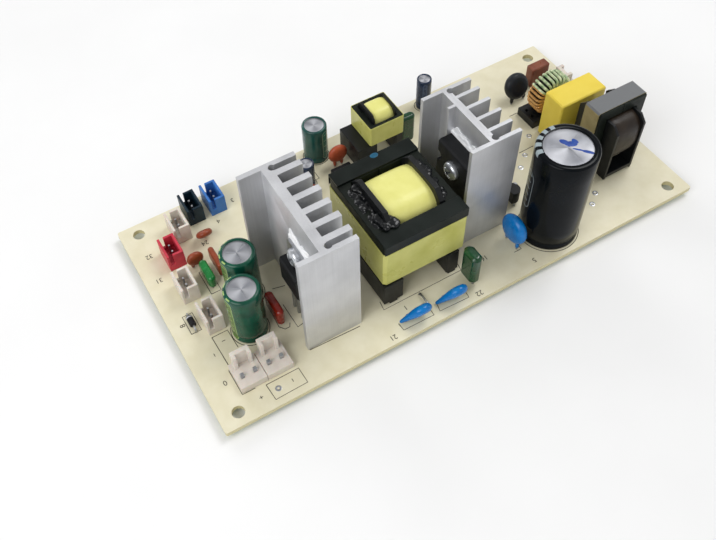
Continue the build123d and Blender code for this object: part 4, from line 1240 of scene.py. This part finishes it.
    def leads(self) -> None:
        """Draws the round leads and the wire link."""
        wire = wire_grower()
        link = Span.node("wire_link")
        inset = self.lead_radius * MM
        x, head = link.middle.x, link.high.z - inset
        front, back = link.low.y + inset, link.high.y - inset
        link_path = [Vector((x, front, link.low.z)), Vector((x, front, head)),
                     Vector((x, back, head)), Vector((x, back, link.low.z))]
        for name, paths, node in (("round_leads", self.lead_paths(), "component_leads"),
                                  ("round_link", [link_path], "wire_link")):
            wire.grow(name, path_mesh(f"{name}_paths", paths), TINNED, "tinned", node,
                      Radius=self.lead_radius * MM, Bend=self.lead_bend * MM)

    def joints(self) -> None:
        """Sets a solder joint in each joint's place, in its two sizes."""
        grower = joint_grower()
        groups: dict[int, list[Vector]] = {}
        for solid in islands("solder_joints"):
            span = Span.points(solid)
            groups.setdefault(round(span.size.x / MM * 10), []).append(span.head)
        for width, points in groups.items():
            grower.grow(f"solder_joints_{width}", path_mesh("joint_points", [[p] for p in points]),
                        SOLDER, "solder", "solder_joints", Tip=self.joint_tip * MM,
                        Pad=width / 20 * MM, Drop=Span.node("solder_joints").size.z)

    def build(self) -> None:
        """Builds and dresses the board."""
        keep("circuit_board", LAMINATE)
        self.legend()
        self.empty_pads()
        self.leads()
        self.joints()


@dataclass
class Heatsinks:
    """Comb extrusions with their clamped packages, screws, pads and paste.

    Sizes are in mm. Each layer of paste is a share of the smear, a thickness and a phase, and
    each wave of its edge a count and a share.
    """

    eased: tuple[tuple[str, str, Ease, Finish, str], ...] = (
        ("left_heatsink_comb", "left_heatsink", Ease.FINE, EXTRUSION, "heatsink"),
        ("right_heatsink_comb", "right_heatsink", Ease.FINE, EXTRUSION, "heatsink"),
        ("rectifier_moulding", "rectifier_body", Ease.FINE, EPOXY, "moulding"),
        ("rectifier_plate", "rectifier_tab", Ease.CRISP, TINNED, "tinned"),
        ("switch_moulding", "power_switch_body", Ease.SOFT, EPOXY, "moulding"),
        ("switch_blades", "power_switch_leads", Ease.CRISP, TINNED, "tinned"),
    )
    head_radius: float = 2.9
    head_height: float = 2.1
    head_rim: float = 0.7
    head_bore: float = 1.3
    arc_steps: int = 8
    head_steps: int = 40
    head_angle: float = 40.0
    shank_radius: float = 1.4
    shank_tip: float = 1.2
    shank_taper: float = 0.3
    shank_lap: float = 0.2
    shank_steps: int = 20
    recess_reach: float = 1.7
    recess_width: float = 0.75
    recess_span: Point = (-1.2, 0.4)
    smear: float = 4.2
    smear_aside: float = 0.16
    smear_steps: int = 120
    smear_least: float = 0.3
    smear_waves: tuple[Point, ...] = ((4, 0.45), (11, 0.25))
    smear_layers: tuple[Triple, ...] = ((1.0, 0.34, 0.0), (0.62, 0.6, 0.9), (0.3, 0.8, 2.1))
    smear_voxel: float = 0.14
    smear_rounds: int = 3

    def screw(self, form: Form, span: Span) -> None:
        """Adds a pan-head screw where a CAD screw is.

        Args:
            form: The mesh under construction.
            span: The box of the CAD screw.
        """
        r, h, rim = self.head_radius, self.head_height, self.head_rim
        seat = span.low.x + h * MM
        place = facing_left(Vector((seat, *span.middle.yz)))
        arc = [(r * math.cos(a), rim + (h - rim) * math.sin(a))
               for a in (math.pi / 2 * i / self.arc_steps for i in range(self.arc_steps))]
        lathe(form, [(self.head_bore, 0.0), (r, 0.0), *arc, (0.0, h)], place, self.head_steps)
        tip = (seat - span.high.x) / MM
        lathe(form, [(0.0, tip), (self.shank_tip, tip), (self.shank_radius, tip + self.shank_taper),
                     (self.shank_radius, self.shank_lap)], place, self.shank_steps)

    def screws(self) -> None:
        """Builds the screws and cuts a cross in each head."""
        form, cutter = bmesh.new(), bmesh.new()
        a, b = self.recess_reach, self.recess_width / 2
        for solid in islands("clamp_screws"):
            span = Span.points(solid)
            self.screw(form, span)
            place = facing_left(Vector((span.low.x, *span.middle.yz)))
            for turn in (math.pi / 4, 3 * math.pi / 4):
                prism(cutter, [(-a, -b), (a, -b), (a, b), (-a, b)], *self.recess_span,
                      place @ Matrix.Rotation(turn, 4, "Z"))
        piece = as_object("pan_head_screws", form, self.head_angle)
        blade = as_object("screw_cross", cutter)
        cut = piece.modifiers.new("cross", "BOOLEAN")
        cut.object = blade
        cut.operation = "DIFFERENCE"
        cut.solver = "EXACT"
        cut.use_self = True
        settled(piece)
        bpy.data.objects.remove(blade)
        dress(piece, PLATED, "steel", "clamp_screws")

    def smeared(self, half: Vector, share: float, phase: float) -> list[Point]:
        """Returns the outline in mm of a layer of paste, which reaches furthest upwards.

        Args:
            half: Half the pad's size, in metres.
            share: How far the paste reaches, as a share.
            phase: Where its waves start, in radians.

        Returns:
            The outline's corners.
        """
        outline = []
        for i in range(self.smear_steps):
            a = math.tau * i / self.smear_steps
            c, s = math.cos(a), math.sin(a)
            edge = min(half.z / max(abs(c), 1e-6), half.y / max(abs(s), 1e-6)) / MM
            upward = self.smear_aside + (1 - self.smear_aside) * max(0.0, c) ** 2
            lump = self.smear_least + sum(
                part * math.sin(count * a + phase) ** 2 for count, part in self.smear_waves)
            reach = edge + self.smear * share * upward * lump
            outline.append((reach * c, reach * s))
        return outline

    def paste(self) -> None:
        """Spreads squeezed-out paste round each pad, as an uneven thin rim."""
        form = bmesh.new()
        for solid in islands("thermal_pads"):
            span = Span.points(solid)
            place = facing_left(Vector((span.high.x, *span.middle.yz)))
            for share, thick, phase in self.smear_layers:
                prism(form, self.smeared(span.size / 2, share, phase), 0.0, thick, place)
        dress(drawn("heat_paste", form, self.smear_voxel, self.smear_rounds), PASTE, "paste")

    def build(self) -> None:
        """Builds and dresses both heatsinks and what is clamped to them."""
        for row in self.eased:
            ease_node(*row)
        keep("thermal_pads", PASTE)
        self.screws()
        self.paste()


@dataclass
class Transformer:
    """A wound part: ground core halves, bobbin, taped winding, core tape and pins."""

    prefix: str
    coil_finish: Finish
    tape_finish: Finish
    core_ease: Ease = Ease.SOFT
    coil_slot: str = "winding_tape"
    tape_slot: str = "tape"
    bulge: float = 0.35
    stations: int = 16
    sides: int = 64
    squareness: float = 3.4
    swell_power: int = 4
    coil_angle: float = 50.0

    def coil(self) -> None:
        """Builds the winding: a rounded section along X that swells a little midway."""
        node = f"{self.prefix}_winding"
        span = Span.node(node)
        half = span.size / 2
        form = bmesh.new()
        rings = []
        for i in range(self.stations + 1):
            along = i / self.stations * 2 - 1
            swell = 1 - self.bulge * MM / half.z * abs(along) ** self.swell_power
            ring = []
            for k in range(self.sides):
                a = math.tau * k / self.sides
                c, s = math.cos(a), math.sin(a)
                reach = swell * (abs(c) ** self.squareness
                                 + abs(s) ** self.squareness) ** (-1 / self.squareness)
                ring.append(form.verts.new(
                    span.middle + half * Vector((along, reach * c, reach * s))))
            rings.append(ring)
        close_rings(form, rings)
        bmesh.ops.recalc_face_normals(form, faces=form.faces)
        dress(as_object(f"{self.prefix}_coil", form, self.coil_angle), self.coil_finish,
              self.coil_slot, node)

    def build(self) -> None:
        """Builds and dresses the whole wound part."""
        for name, node, ease, finish, slot in (
                ("halves", "core", self.core_ease, FERRITE, "ferrite"),
                ("former", "bobbin", Ease.FINE, PHENOLIC, "bobbin"),
                ("band", "tape", Ease.CRISP, self.tape_finish, self.tape_slot),
                ("posts", "pins", Ease.CRISP, TINNED, "tinned")):
            ease_node(f"{self.prefix}_{name}", f"{self.prefix}_{node}", ease, finish, slot)
        self.coil()


@dataclass
class StrappedTransformer(Transformer):
    """The largest wound part: its core halves strapped with tape, its coil daubed with varnish.

    Strips are a width on the core's top, a rise over it and a reach down its side. Each patch of
    lumps is two bounds along, two bounds across and a level, in mm from the coil's left front
    corner and top, and a count. Dabs are measured from the back strip's left end.
    """

    strip_width: float = 5.0
    strip_rises: Point = (0.3, 0.8)
    strip_lap: float = 3.2
    strip_skin: float = 0.26
    lumps: tuple[tuple[float, float, float, float, float, int], ...] = (
        (-4.4, -1.0, 0.4, 17.0, -2.7, 52), (-2.6, 1.0, -0.6, 4.6, -1.5, 26),
        (-2.0, -0.2, 12.0, 17.4, -1.7, 16), (16.3, 19.2, 0.6, 16.6, -2.6, 44),
        (15.9, 16.6, 3.0, 16.8, -1.4, 16),
    )
    lump_reach: Point = (0.8, 1.5)
    lump_rise: Point = (0.6, 1.0)
    lump_voxel: float = 0.25
    lump_rounds: int = 4
    seed: int = 23
    dabs: tuple[tuple[float, ...], ...] = ((14.9, -0.5, 0.0, 1.3, 0.9),)
    dab_thick: float = 0.06

    def straps(self) -> None:
        """Lays a strip of tape along the front and back bars, folded down their sides."""
        span = Span.node(f"{self.prefix}_core")
        form = bmesh.new()
        turn = Matrix.Rotation(math.pi / 2, 4, "Z") @ Matrix.Rotation(math.pi / 2, 4, "X")
        for edge, way, rise in zip((span.low.y, span.high.y), (1, -1), self.strip_rises):
            skin, width, lap = -way * self.strip_skin, way * self.strip_width, -self.strip_lap
            outline = [(0.0, 0.0), (0.0, lap), (skin, lap), (skin, rise), (width, rise),
                       (width, 0.0)]
            place = Matrix.Translation(Vector((span.low.x, edge, span.high.z))) @ turn
            prism(form, outline, 0.0, span.size.x / MM, place)
        bmesh.ops.recalc_face_normals(form, faces=form.faces)
        dress(soften(as_object(f"{self.prefix}_straps", form), Ease.FINE), STRAP_TAPE, "ferrite")

    def varnish(self) -> None:
        """Daubs lumps of varnish over the coil's ends, run together where they meet."""
        span = Span.node(f"{self.prefix}_winding")
        corner = Vector((*span.low.xy, span.high.z))
        form = bmesh.new()
        chance = random.Random(self.seed)
        for left, right, front, back, level, count in self.lumps:
            for _ in range(count):
                reach = chance.uniform(*self.lump_reach)
                place = Vector((chance.uniform(left, right), chance.uniform(front, back), level))
                ball(form, Matrix.Translation(corner + place * MM),
                     Vector((reach, reach, chance.uniform(*self.lump_rise))))
        dress(drawn(f"{self.prefix}_varnish", form, self.lump_voxel, self.lump_rounds), VARNISH,
              "bobbin")

    def mark(self) -> None:
        """Dabs marking ink on the back strap."""
        span = Span.node(f"{self.prefix}_core")
        spot = Vector((span.low.x, span.high.y, span.high.z + self.strip_rises[1] * MM))
        dab_ink(f"{self.prefix}_mark", spot, self.dabs, self.dab_thick, TEAL_INK)

    def build(self) -> None:
        """Builds and dresses the wound part with its tape and varnish."""
        super().build()
        self.straps()
        self.varnish()
        self.mark()


@dataclass
class ToroidChoke:
    """A ring core in two windings of round wire, on its moulded base.

    Lengths are in mm, and each winding starts at an angle in radians.
    """

    bore_share: float = 0.5625
    chamfer: float = 0.5
    turns: int = 12
    wire: float = 0.46
    gap: float = 0.04
    sweep: float = 2.5
    stray: float = 0.07
    windings: tuple[tuple[str, float, Finish, str], ...] = (
        ("copper", 2.55, COPPER, "copper"), ("green", 0.0, GREEN_WIRE, "green_wire"))

    def build(self) -> None:
        """Builds the rounded core, both windings and the base."""
        span = Span.node("toroid_core")
        outer, width = span.size.x / 2 / MM, span.size.y / 2 / MM
        inner, c = outer * self.bore_share, self.chamfer
        place = Matrix.Translation(span.middle) @ Matrix.Rotation(math.pi / 2, 4, "X")
        form = bmesh.new()
        lathe(form, [(inner + c, -width), (outer - c, -width), (outer, c - width),
                     (outer, width - c), (outer - c, width), (inner + c, width),
                     (inner, width - c), (inner, c - width), (inner + c, -width)], place)
        bmesh.ops.remove_doubles(form, verts=form.verts, dist=MERGE)
        dress(as_object("ring_core", form), FERRITE, "ferrite", "toroid_core")
        grower = turns_grower()
        room = 2 * (self.gap + self.wire)
        for name, start, finish, slot in self.windings:
            coil = grower.grow(
                f"{name}_turns", bpy.data.meshes.new("turn_seed"), finish, slot,
                f"toroid_{name}_winding", Turns=self.turns, Start=start, Sweep=self.sweep,
                Ring=(outer + inner) / 2 * MM, Across=(outer - inner + room) * MM,
                Along=(2 * width + room) * MM, Wire=self.wire * MM, Stray=self.stray)
            coil.data.transform(place)
        ease_node("choke_base", "toroid_base", Ease.FINE, PHENOLIC, "bobbin")


@dataclass
class Electrolytics:
    """Cans with scored lids in shrunk sleeves.

    Lengths are in mm. The groove is given as heights and shares of its depth, the lid's shares
    are of its radius, and dabs are measured from the middle of the bulk capacitor's lid. Each
    group is the sleeves' node, their film and slot, the score lines on their lids, and the node
    that their cans stand for.
    """

    groups: tuple[tuple[str, Finish, str, int, str], ...] = (
        ("bulk_capacitor_sleeve", BULK_FILM, "black_sleeve", 3, "bulk_capacitor_can"),
        ("output_capacitor_sleeves", GREEN_FILM, "green_sleeve", 3, "small_capacitor_cans"),
        ("teal_capacitor_sleeve", TEAL_FILM, "teal_sleeve", 0, "small_capacitor_cans"),
        ("navy_capacitor_sleeves", NAVY_FILM, "navy_sleeve", 0, "small_capacitor_cans"),
    )
    groove: float = 0.35
    groove_shape: tuple[Point, ...] = ((1.5, 0.0), (2.0, 0.8), (2.3, 1.0), (2.6, 0.8), (3.1, 0.0))
    lip_share: float = 0.22
    lip_thickness: float = 0.3
    bend_share: float = 0.12
    bend_most: float = 0.7
    bend_curve: float = 0.3
    foot_profile: Triple = (0.02, 0.12, 0.5)
    film_steps: int = 96
    film_angle: float = 60.0
    can_angle: float = 50.0
    can_inset: float = 0.45
    can_drop: float = 0.02
    can_foot: float = 0.3
    lid_steps: int = 180
    lid_rows: int = 18
    score_depth: float = 0.14
    score_width: float = 0.24
    score_share: float = 0.72
    score_turn: float = 0.5
    rim_depth: float = 0.12
    rim_share: float = 0.82
    rim_spread: float = 0.05
    dabs: tuple[tuple[float, ...], ...] = (
        (0.2, 2.2, -60.0, 1.5, 0.95), (1.3, 0.6, -35.0, 2.0, 1.1), (2.9, 0.8, -75.0, 1.2, 0.7),
        (1.7, -2.2, -48.0, 1.9, 0.36), (3.3, -4.2, -50.0, 1.9, 0.6),
    )
    dab_thick: float = 0.07

    def sleeve(self, form: Form, span: Span) -> None:
        """Adds a sleeve that follows its can's groove and curls over the lid.

        Args:
            form: The mesh under construction.
            span: The box of the CAD solid.
        """
        r, h = span.size.x / 2 / MM, span.size.z / MM
        lip = r * (1 - self.lip_share)
        bend = min(self.bend_most, r * self.bend_share)
        curve = bend * self.bend_curve
        under, turned, straight = self.foot_profile
        profile = [
            (lip, under), (r - bend, under), (r - curve, turned), (r, straight),
            *((r - self.groove * share, height) for height, share in self.groove_shape),
            *((r, h * (0.2 + 0.1 * i)) for i in range(7)),
            (r, h - bend), (r - curve, h - curve), (r - bend, h),
            (lip + 0.3, h), (lip, h - 0.12), (lip, h - self.lip_thickness)]
        lathe(form, profile, Matrix.Translation(span.foot), self.film_steps)

    def dip(self, angle: float, share: float, edge: float, arms: int) -> float:
        """Returns how far a place on a lid lies under its top.

        Args:
            angle: The place's angle.
            share: Its distance from the centre, as a share of the lid's radius.
            edge: The lid's radius.
            arms: The lid's score lines.

        Returns:
            The depth in mm.
        """
        rim = self.rim_depth * math.exp(-((share - self.rim_share) / self.rim_spread) ** 2)
        if not arms or share >= self.score_share:
            return rim
        nearest = min(abs(math.remainder(angle - math.tau * k / arms - self.score_turn, math.tau))
                      for k in range(arms))
        aside = share * edge * math.sin(min(nearest, math.pi / 2))
        return rim + self.score_depth * max(0.0, 1 - aside / self.score_width)

    def lid(self, form: Form, span: Span, arms: int) -> None:
        """Adds a can whose lid has score lines from its centre, and a turned UV.

        Args:
            form: The mesh under construction.
            span: The box of the CAD solid.
            arms: The number of score lines.
        """
        layer = uv_layer(form)
        edge = span.size.x / 2 / MM - self.can_inset
        top = span.size.z / MM - self.lip_thickness - self.can_drop
        steps, rows = self.lid_steps, self.lid_rows
        rings = []
        for j in range(rows + 1):
            ring = []
            for i in range(steps if j else 1):
                a, share = math.tau * i / steps, j / rows
                ring.append(form.verts.new(span.foot + Vector((
                    edge * share * math.cos(a), edge * share * math.sin(a),
                    top - self.dip(a, share, edge, arms))) * MM))
            rings.append(ring)
        drop = Vector((0.0, 0.0, (top - self.can_foot) * MM))
        rings.append([form.verts.new(vertex.co - drop) for vertex in rings[-1]])
        for j, (inner, outer) in enumerate(zip(rings, rings[1:])):
            for i in range(steps):
                after = (i + 1) % steps
                corners = [(outer[i], i, j + 1), (outer[after], i + 1, j + 1)]
                if len(inner) == 1:
                    corners.insert(0, (inner[0], i + 0.5, j))
                else:
                    corners = [(inner[i], i, j), *corners, (inner[after], i + 1, j)]
                face = form.faces.new([vertex for vertex, _, _ in corners])
                for loop, (_, turn, row) in zip(face.loops, corners):
                    loop[layer].uv = (turn / steps, row / rows)
        form.faces.new(rings[-1][::-1])

    def build(self) -> None:
        """Builds and dresses every can and sleeve, and dabs ink on the largest lid."""
        dab_ink("lid_mark", Span.node("bulk_capacitor_can").head, self.dabs, self.dab_thick,
                MARK_INK)
        for node, finish, slot, arms, can in self.groups:
            film, cans = bmesh.new(), bmesh.new()
            for solid in islands(node):
                self.sleeve(film, Span.points(solid))
                self.lid(cans, Span.points(solid), arms)
            for form in (film, cans):
                bmesh.ops.recalc_face_normals(form, faces=form.faces)
            dress(as_object(f"{node}_film", film, self.film_angle), finish, slot, node)
            dress(as_object(f"{node}_can", cans, self.can_angle), LID, "can", can)


def thin_way(node: str, solid: list[Vector]) -> Vector:
    """Returns the direction in which a solid of a CAD node is thinnest.

    Args:
        node: The CAD node's name.
        solid: The corners of one of its solids.

    Returns:
        A unit vector.
    """
    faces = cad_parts[node].data.polygons
    ways = sorted({tuple(round(c, 3) for c in face.normal) for face in faces})

    def reach(way: tuple[float, ...]) -> float:
        """Measures the solid along a direction.

        Args:
            way: A direction.

        Returns:
            The solid's extent along it, in metres.
        """
        places = [point.dot(Vector(way)) for point in solid]
        return max(places) - min(places)

    return Vector(min(ways, key=reach)).normalized()


@dataclass
class DippedParts:
    """Disc and film capacitors and the thermistor, coated by dipping.

    A disc is a lens with its coating run down its leads. A tailed disc has its coating drawn
    out to the foot of its left lead. Sizes are in mm, and the lens in shares of its own.
    """

    discs: tuple[tuple[str, Finish, str], ...] = (
        ("blue_disc_capacitors", BLUE_DIP, "blue_dip"),
        ("orange_disc_capacitor", ORANGE_DIP, "orange_dip"),
        ("brown_disc_capacitors", BROWN_DIP, "brown_dip"),
        ("thermistor", BLACK_DIP, "black_dip"),
    )
    films: tuple[tuple[str, Finish, str], ...] = (
        ("brown_film_capacitor", BROWN_DIP, "brown_dip"),
        ("red_film_capacitor", RED_DIP, "red_dip"),
        ("green_dipped_capacitor", GREEN_DIP, "green_dip"),
        ("green_film_capacitors", DARK_GREEN_DIP, "dark_green_dip"),
    )
    lens: tuple[Point, ...] = (
        (0.0, -1.0), (0.45, -0.98), (0.72, -0.86), (0.9, -0.58), (0.98, -0.26), (1.0, 0.0),
        (0.98, 0.26), (0.9, 0.58), (0.72, 0.86), (0.45, 0.98), (0.0, 1.0),
    )
    lens_steps: int = 40
    disc_voxel: float = 0.14
    disc_rounds: int = 6
    film_voxel: float = 0.16
    film_rounds: int = 16
    skirt: float = 1.5
    skirt_radius: float = 0.62
    skirt_foot: float = 0.6
    skirt_swell: float = 0.5
    skirt_steps: int = 16
    skirt_top: float = 2.0
    skirt_clear: float = 0.3
    tail_front: float = -32.0
    tail_radius: float = 0.5
    tail_out: float = 0.4
    tail_rise: float = 0.7
    tail_share: float = 0.76

    def feet(self, span: Span) -> list[Vector]:
        """Returns the tops of the leads that enter a body's box, from left to right.

        Args:
            span: The body's box.

        Returns:
            One point for each lead, in metres.
        """
        tops = [Span.points(lead).head for lead in islands("component_leads")]
        return [top for top in tops
                if span.low.x < top.x < span.high.x and span.low.y < top.y < span.high.y]

    def disc(self, form: Form, node: str, solid: list[Vector]) -> None:
        """Adds one disc, in its CAD solid's place and lean.

        Args:
            form: The mesh under construction.
            node: The CAD node's name.
            solid: The solid's corners.
        """
        span = Span.points(solid)
        way = thin_way(node, solid)
        side = way.cross(Vector((0.0, 0.0, 1.0))).normalized()
        rise = side.cross(way)
        if rise.z < 0:
            side, rise = -side, -rise
        lean = Matrix((side, rise, way))
        upright = Span.points(lean @ point for point in solid)
        wide = upright.size.x / 2
        radius, thick = wide / MM, upright.size.z / 2 / MM
        middle = lean.transposed() @ Vector((
            upright.middle.x, upright.high.y - wide, upright.middle.z))
        feet = self.feet(span)
        top = Span.node("circuit_board").high.z
        tailed = feet and middle.y < self.tail_front * MM
        share = self.tail_share if tailed else 1.0
        body = bmesh.new()
        lathe(body, [(radius * share * a, thick * b) for a, b in self.lens],
              Matrix.Translation(middle) @ lean.transposed().to_4x4(), self.lens_steps)
        if tailed:
            body.transform(Matrix.Translation(Vector(((1 - share) * radius * MM, 0.0, 0.0))))
            tip = Vector((span.low.x - self.tail_out * MM, feet[0].y, top + self.tail_rise * MM))
            ball(body, Matrix.Translation(tip), Vector((self.tail_radius,) * 3))
            hull = bmesh.ops.convex_hull(body, input=body.verts)
            spare = {item for item in hull["geom_interior"] + hull["geom_unused"]
                     if isinstance(item, bmesh.types.BMVert)}
            bmesh.ops.delete(body, geom=list(spare), context="VERTS")
        for foot in feet:
            drop = max(top + self.skirt_clear * MM, foot.z - self.skirt * MM)
            lathe(body, [(0.0, 0.0), (self.skirt_radius * self.skirt_foot, 0.0),
                         (self.skirt_radius, self.skirt * self.skirt_swell),
                         (self.skirt_radius, self.skirt_top), (0.0, self.skirt_top)],
                  Matrix.Translation(Vector((*foot.xy, drop))), self.skirt_steps)
        mesh = bpy.data.meshes.new("disc")
        body.to_mesh(mesh)
        body.free()
        form.from_mesh(mesh)

    def build(self) -> None:
        """Builds and dresses every dipped part."""
        for node, finish, slot in self.discs:
            form = bmesh.new()
            for solid in islands(node):
                self.disc(form, node, solid)
            dress(drawn(f"{node}_coat", form, self.disc_voxel, self.disc_rounds), finish, slot,
                  node)
        for node, finish, slot in self.films:
            dress(drawn(f"{node}_coat", cad_copy(node), self.film_voxel, self.film_rounds),
                  finish, slot, node)


@dataclass
class MouldedParts:
    """Boxes, headers, pins and small packages with eased edges.

    An axial part is its node, finish, slot, its bands' places from 0 to 1, and the share by
    which its middle is thinner.
    """

    parts: tuple[tuple[str, Ease, Finish, str], ...] = (
        ("mains_film_capacitor", Ease.SOFT, YELLOW_BOX, "yellow_film"),
        ("brown_box_capacitor", Ease.SOFT, BROWN_BOX, "brown_box"),
        ("white_wire_headers", Ease.FINE, WHITE_NYLON, "white_nylon"),
        ("large_wire_headers", Ease.FINE, WHITE_NYLON, "white_nylon"),
        ("mains_header", Ease.FINE, WHITE_NYLON, "white_nylon"),
        ("black_wire_header", Ease.FINE, BLACK_NYLON, "black_nylon"),
        ("blue_wire_header", Ease.FINE, BLUE_NYLON, "blue_nylon"),
        ("red_wire_header", Ease.FINE, RED_NYLON, "red_nylon"),
        ("header_pins", Ease.FINE, TINNED, "tinned"),
        ("optocoupler", Ease.FINE, EPOXY, "moulding"),
        ("small_regulator", Ease.FINE, EPOXY, "moulding"),
    )
    axials: tuple[tuple[str, Finish, str, tuple[float, ...], float], ...] = (
        ("small_resistor", BLUE_LACQUER, "blue_body", (0.2, 0.42, 0.58, 0.8), 0.16),
        ("small_diode", EPOXY, "moulding", (0.82,), 0.0),
    )
    end_shape: tuple[Point, ...] = ((0.0, 0.5), (0.7, 0.5), (0.94, 0.46), (1.0, 0.38), (1.0, 0.24))
    waist_reach: float = 0.16
    band_width: float = 0.44
    band_rise: float = 0.02
    band_sink: float = 0.1
    axial_steps: int = 28
    axial_angle: float = 45.0

    def axial(self, node: str, finish: Finish, slot: str, bands: Sequence[float],
              thinner: float) -> None:
        """Builds a body with swollen ends along its node's longest axis, with bands.

        Args:
            node: The CAD node's name.
            finish: The body's finish.
            slot: Its material slot.
            bands: Where the bands lie, as shares.
            thinner: How much thinner the middle is, as a share.
        """
        span = Span.node(node)
        axis, turn = ("Y", math.pi / 2) if span.size.x > span.size.y else ("X", -math.pi / 2)
        place = Matrix.Translation(span.middle) @ Matrix.Rotation(turn, 4, axis)
        length, r = max(span.size.xy) / MM, span.size.z / 2 / MM
        waist = 1 - thinner
        shape = [*((a, -b) for a, b in self.end_shape), (waist, -self.waist_reach),
                 (waist, self.waist_reach), *self.end_shape[::-1]]
        form = bmesh.new()
        lathe(form, [(r * a, length * b) for a, b in shape], place, self.axial_steps)
        dress(as_object(f"{node}_body", form, self.axial_angle), finish, slot, node)
        rings = bmesh.new()
        for band in bands:
            level = r * waist if abs(band - 0.5) < self.waist_reach else r
            first = (band - 0.5) * length - self.band_width / 2
            last = first + self.band_width
            sunk, proud = level - self.band_sink, level + self.band_rise
            lathe(rings, [(sunk, first), (proud, first), (proud, last), (sunk, last)], place,
                  self.axial_steps)
        dress(as_object(f"{node}_bands", rings), BAND_PAINT, slot)

    def build(self) -> None:
        """Builds and dresses every moulded part."""
        for node, ease, finish, slot in self.parts:
            ease_node(f"{node}_eased", node, ease, finish, slot)
        for row in self.axials:
            self.axial(*row)


@dataclass
class Studio:
    """A plain pale floor, soft lights and a camera at the photograph's angle.

    The camera was fitted to the board's corners: its place is in mm in the part's frame, and
    right and up are the photograph's own directions. Each lamp is a name, a place and a size
    in metres, and a power in watts.
    """

    place: Triple = (-96.295, -139.666, 211.976)
    right: Triple = (0.86926, -0.49153, -0.05285)
    up: Triple = (0.42927, 0.69745, 0.57384)
    focal_pixels: float = 841.59
    photo: Point = (716.0, 540.0)
    centre: Point = (321.08, 270.44)
    near: float = 0.005
    lamps: tuple[tuple[str, Triple, float, float], ...] = (
        ("key", (0.45, 0.1, 0.75), 0.35, 2.9),
        ("fill", (-0.55, -0.2, 0.5), 0.5, 3.0),
        ("back", (-0.1, 0.75, 0.4), 0.4, 1.2),
    )
    room_scale: float = 1.3
    room_dark: float = 0.3
    room_bright: float = 0.72
    floor_reach: float = 0.6

    def camera(self) -> None:
        """Sets the camera."""
        data = bpy.data.cameras.new("photo_camera")
        camera = linked("photo_camera", data)
        right, up = Vector(self.right), Vector(self.up)
        turn = Matrix((right, up, right.cross(up))).transposed().to_4x4()
        camera.matrix_world = Matrix.Translation(Vector(self.place) * MM) @ turn
        width, height = self.photo
        data.lens = self.focal_pixels / width * data.sensor_width
        data.shift_x = (width / 2 - self.centre[0]) / width
        data.shift_y = (self.centre[1] - height / 2) / width
        data.clip_start = self.near
        bpy.context.scene.camera = camera

    def lights(self) -> None:
        """Hangs square soft lights that look at the board."""
        for name, place, size, power in self.lamps:
            data = bpy.data.lights.new(name, "AREA")
            data.size = size
            data.energy = power
            lamp = linked(name, data)
            lamp.location = place
            lamp.rotation_euler = (-Vector(place)).to_track_quat("-Z", "Y").to_euler()

    def room(self) -> None:
        """Surrounds the board with a room that is lit unevenly, for metal to mirror."""
        world = bpy.data.worlds.new("pale_room")
        world.use_nodes = True
        graph = Graph(world.node_tree)
        patches = graph.add(NOISE, {
            "Vector": graph.add(COORDINATES).outputs["Generated"], "Scale": self.room_scale,
            "Detail": 1.0})
        level = graph.add(MAP_RANGE, {
            "Value": patches, **ROOM_BAND, "To Min": self.room_dark,
            "To Max": self.room_bright})
        ray = graph.add("ShaderNodeLightPath")
        seen = graph.add(MIX, {0: ray.outputs["Is Camera Ray"], 2: level, 3: 1.0})
        graph.feed(world.node_tree.nodes["Background"], {
            "Strength": seen, "Color": linear("#FFFFFF")})
        bpy.context.scene.world = world

    def build(self) -> None:
        """Builds the floor, the lights, the world and the camera."""
        mesh = bpy.data.meshes.new("floor")
        reach = self.floor_reach
        corners = [(-reach, -reach, 0.0), (reach, -reach, 0.0), (reach, reach, 0.0),
                   (-reach, reach, 0.0)]
        mesh.from_pydata(corners, [], [(0, 1, 2, 3)])
        mesh.materials.append(FLOOR.material())
        linked("floor", mesh)
        self.lights()
        self.room()
        bpy.context.scene.view_settings.view_transform = "Standard"
        self.camera()


def main() -> None:
    """Builds and dresses the board in order."""
    logging.basicConfig(level=logging.INFO, format="%(message)s")
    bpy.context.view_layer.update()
    Studio().build()
    Board().build()
    Heatsinks().build()
    StrappedTransformer("main_transformer", COIL_TAPE, CORE_TAPE).build()
    Transformer("small_transformer", COIL_TAPE, CORE_TAPE, core_ease=Ease.FINE).build()
    Transformer("line_filter", PAPER_WRAP, TAN_TAPE, coil_slot="dark_wrap",
                tape_slot="tan_tape").build()
    ToroidChoke().build()
    Electrolytics().build()
    DippedParts().build()
    MouldedParts().build()


if __name__ == "__main__":
    main()
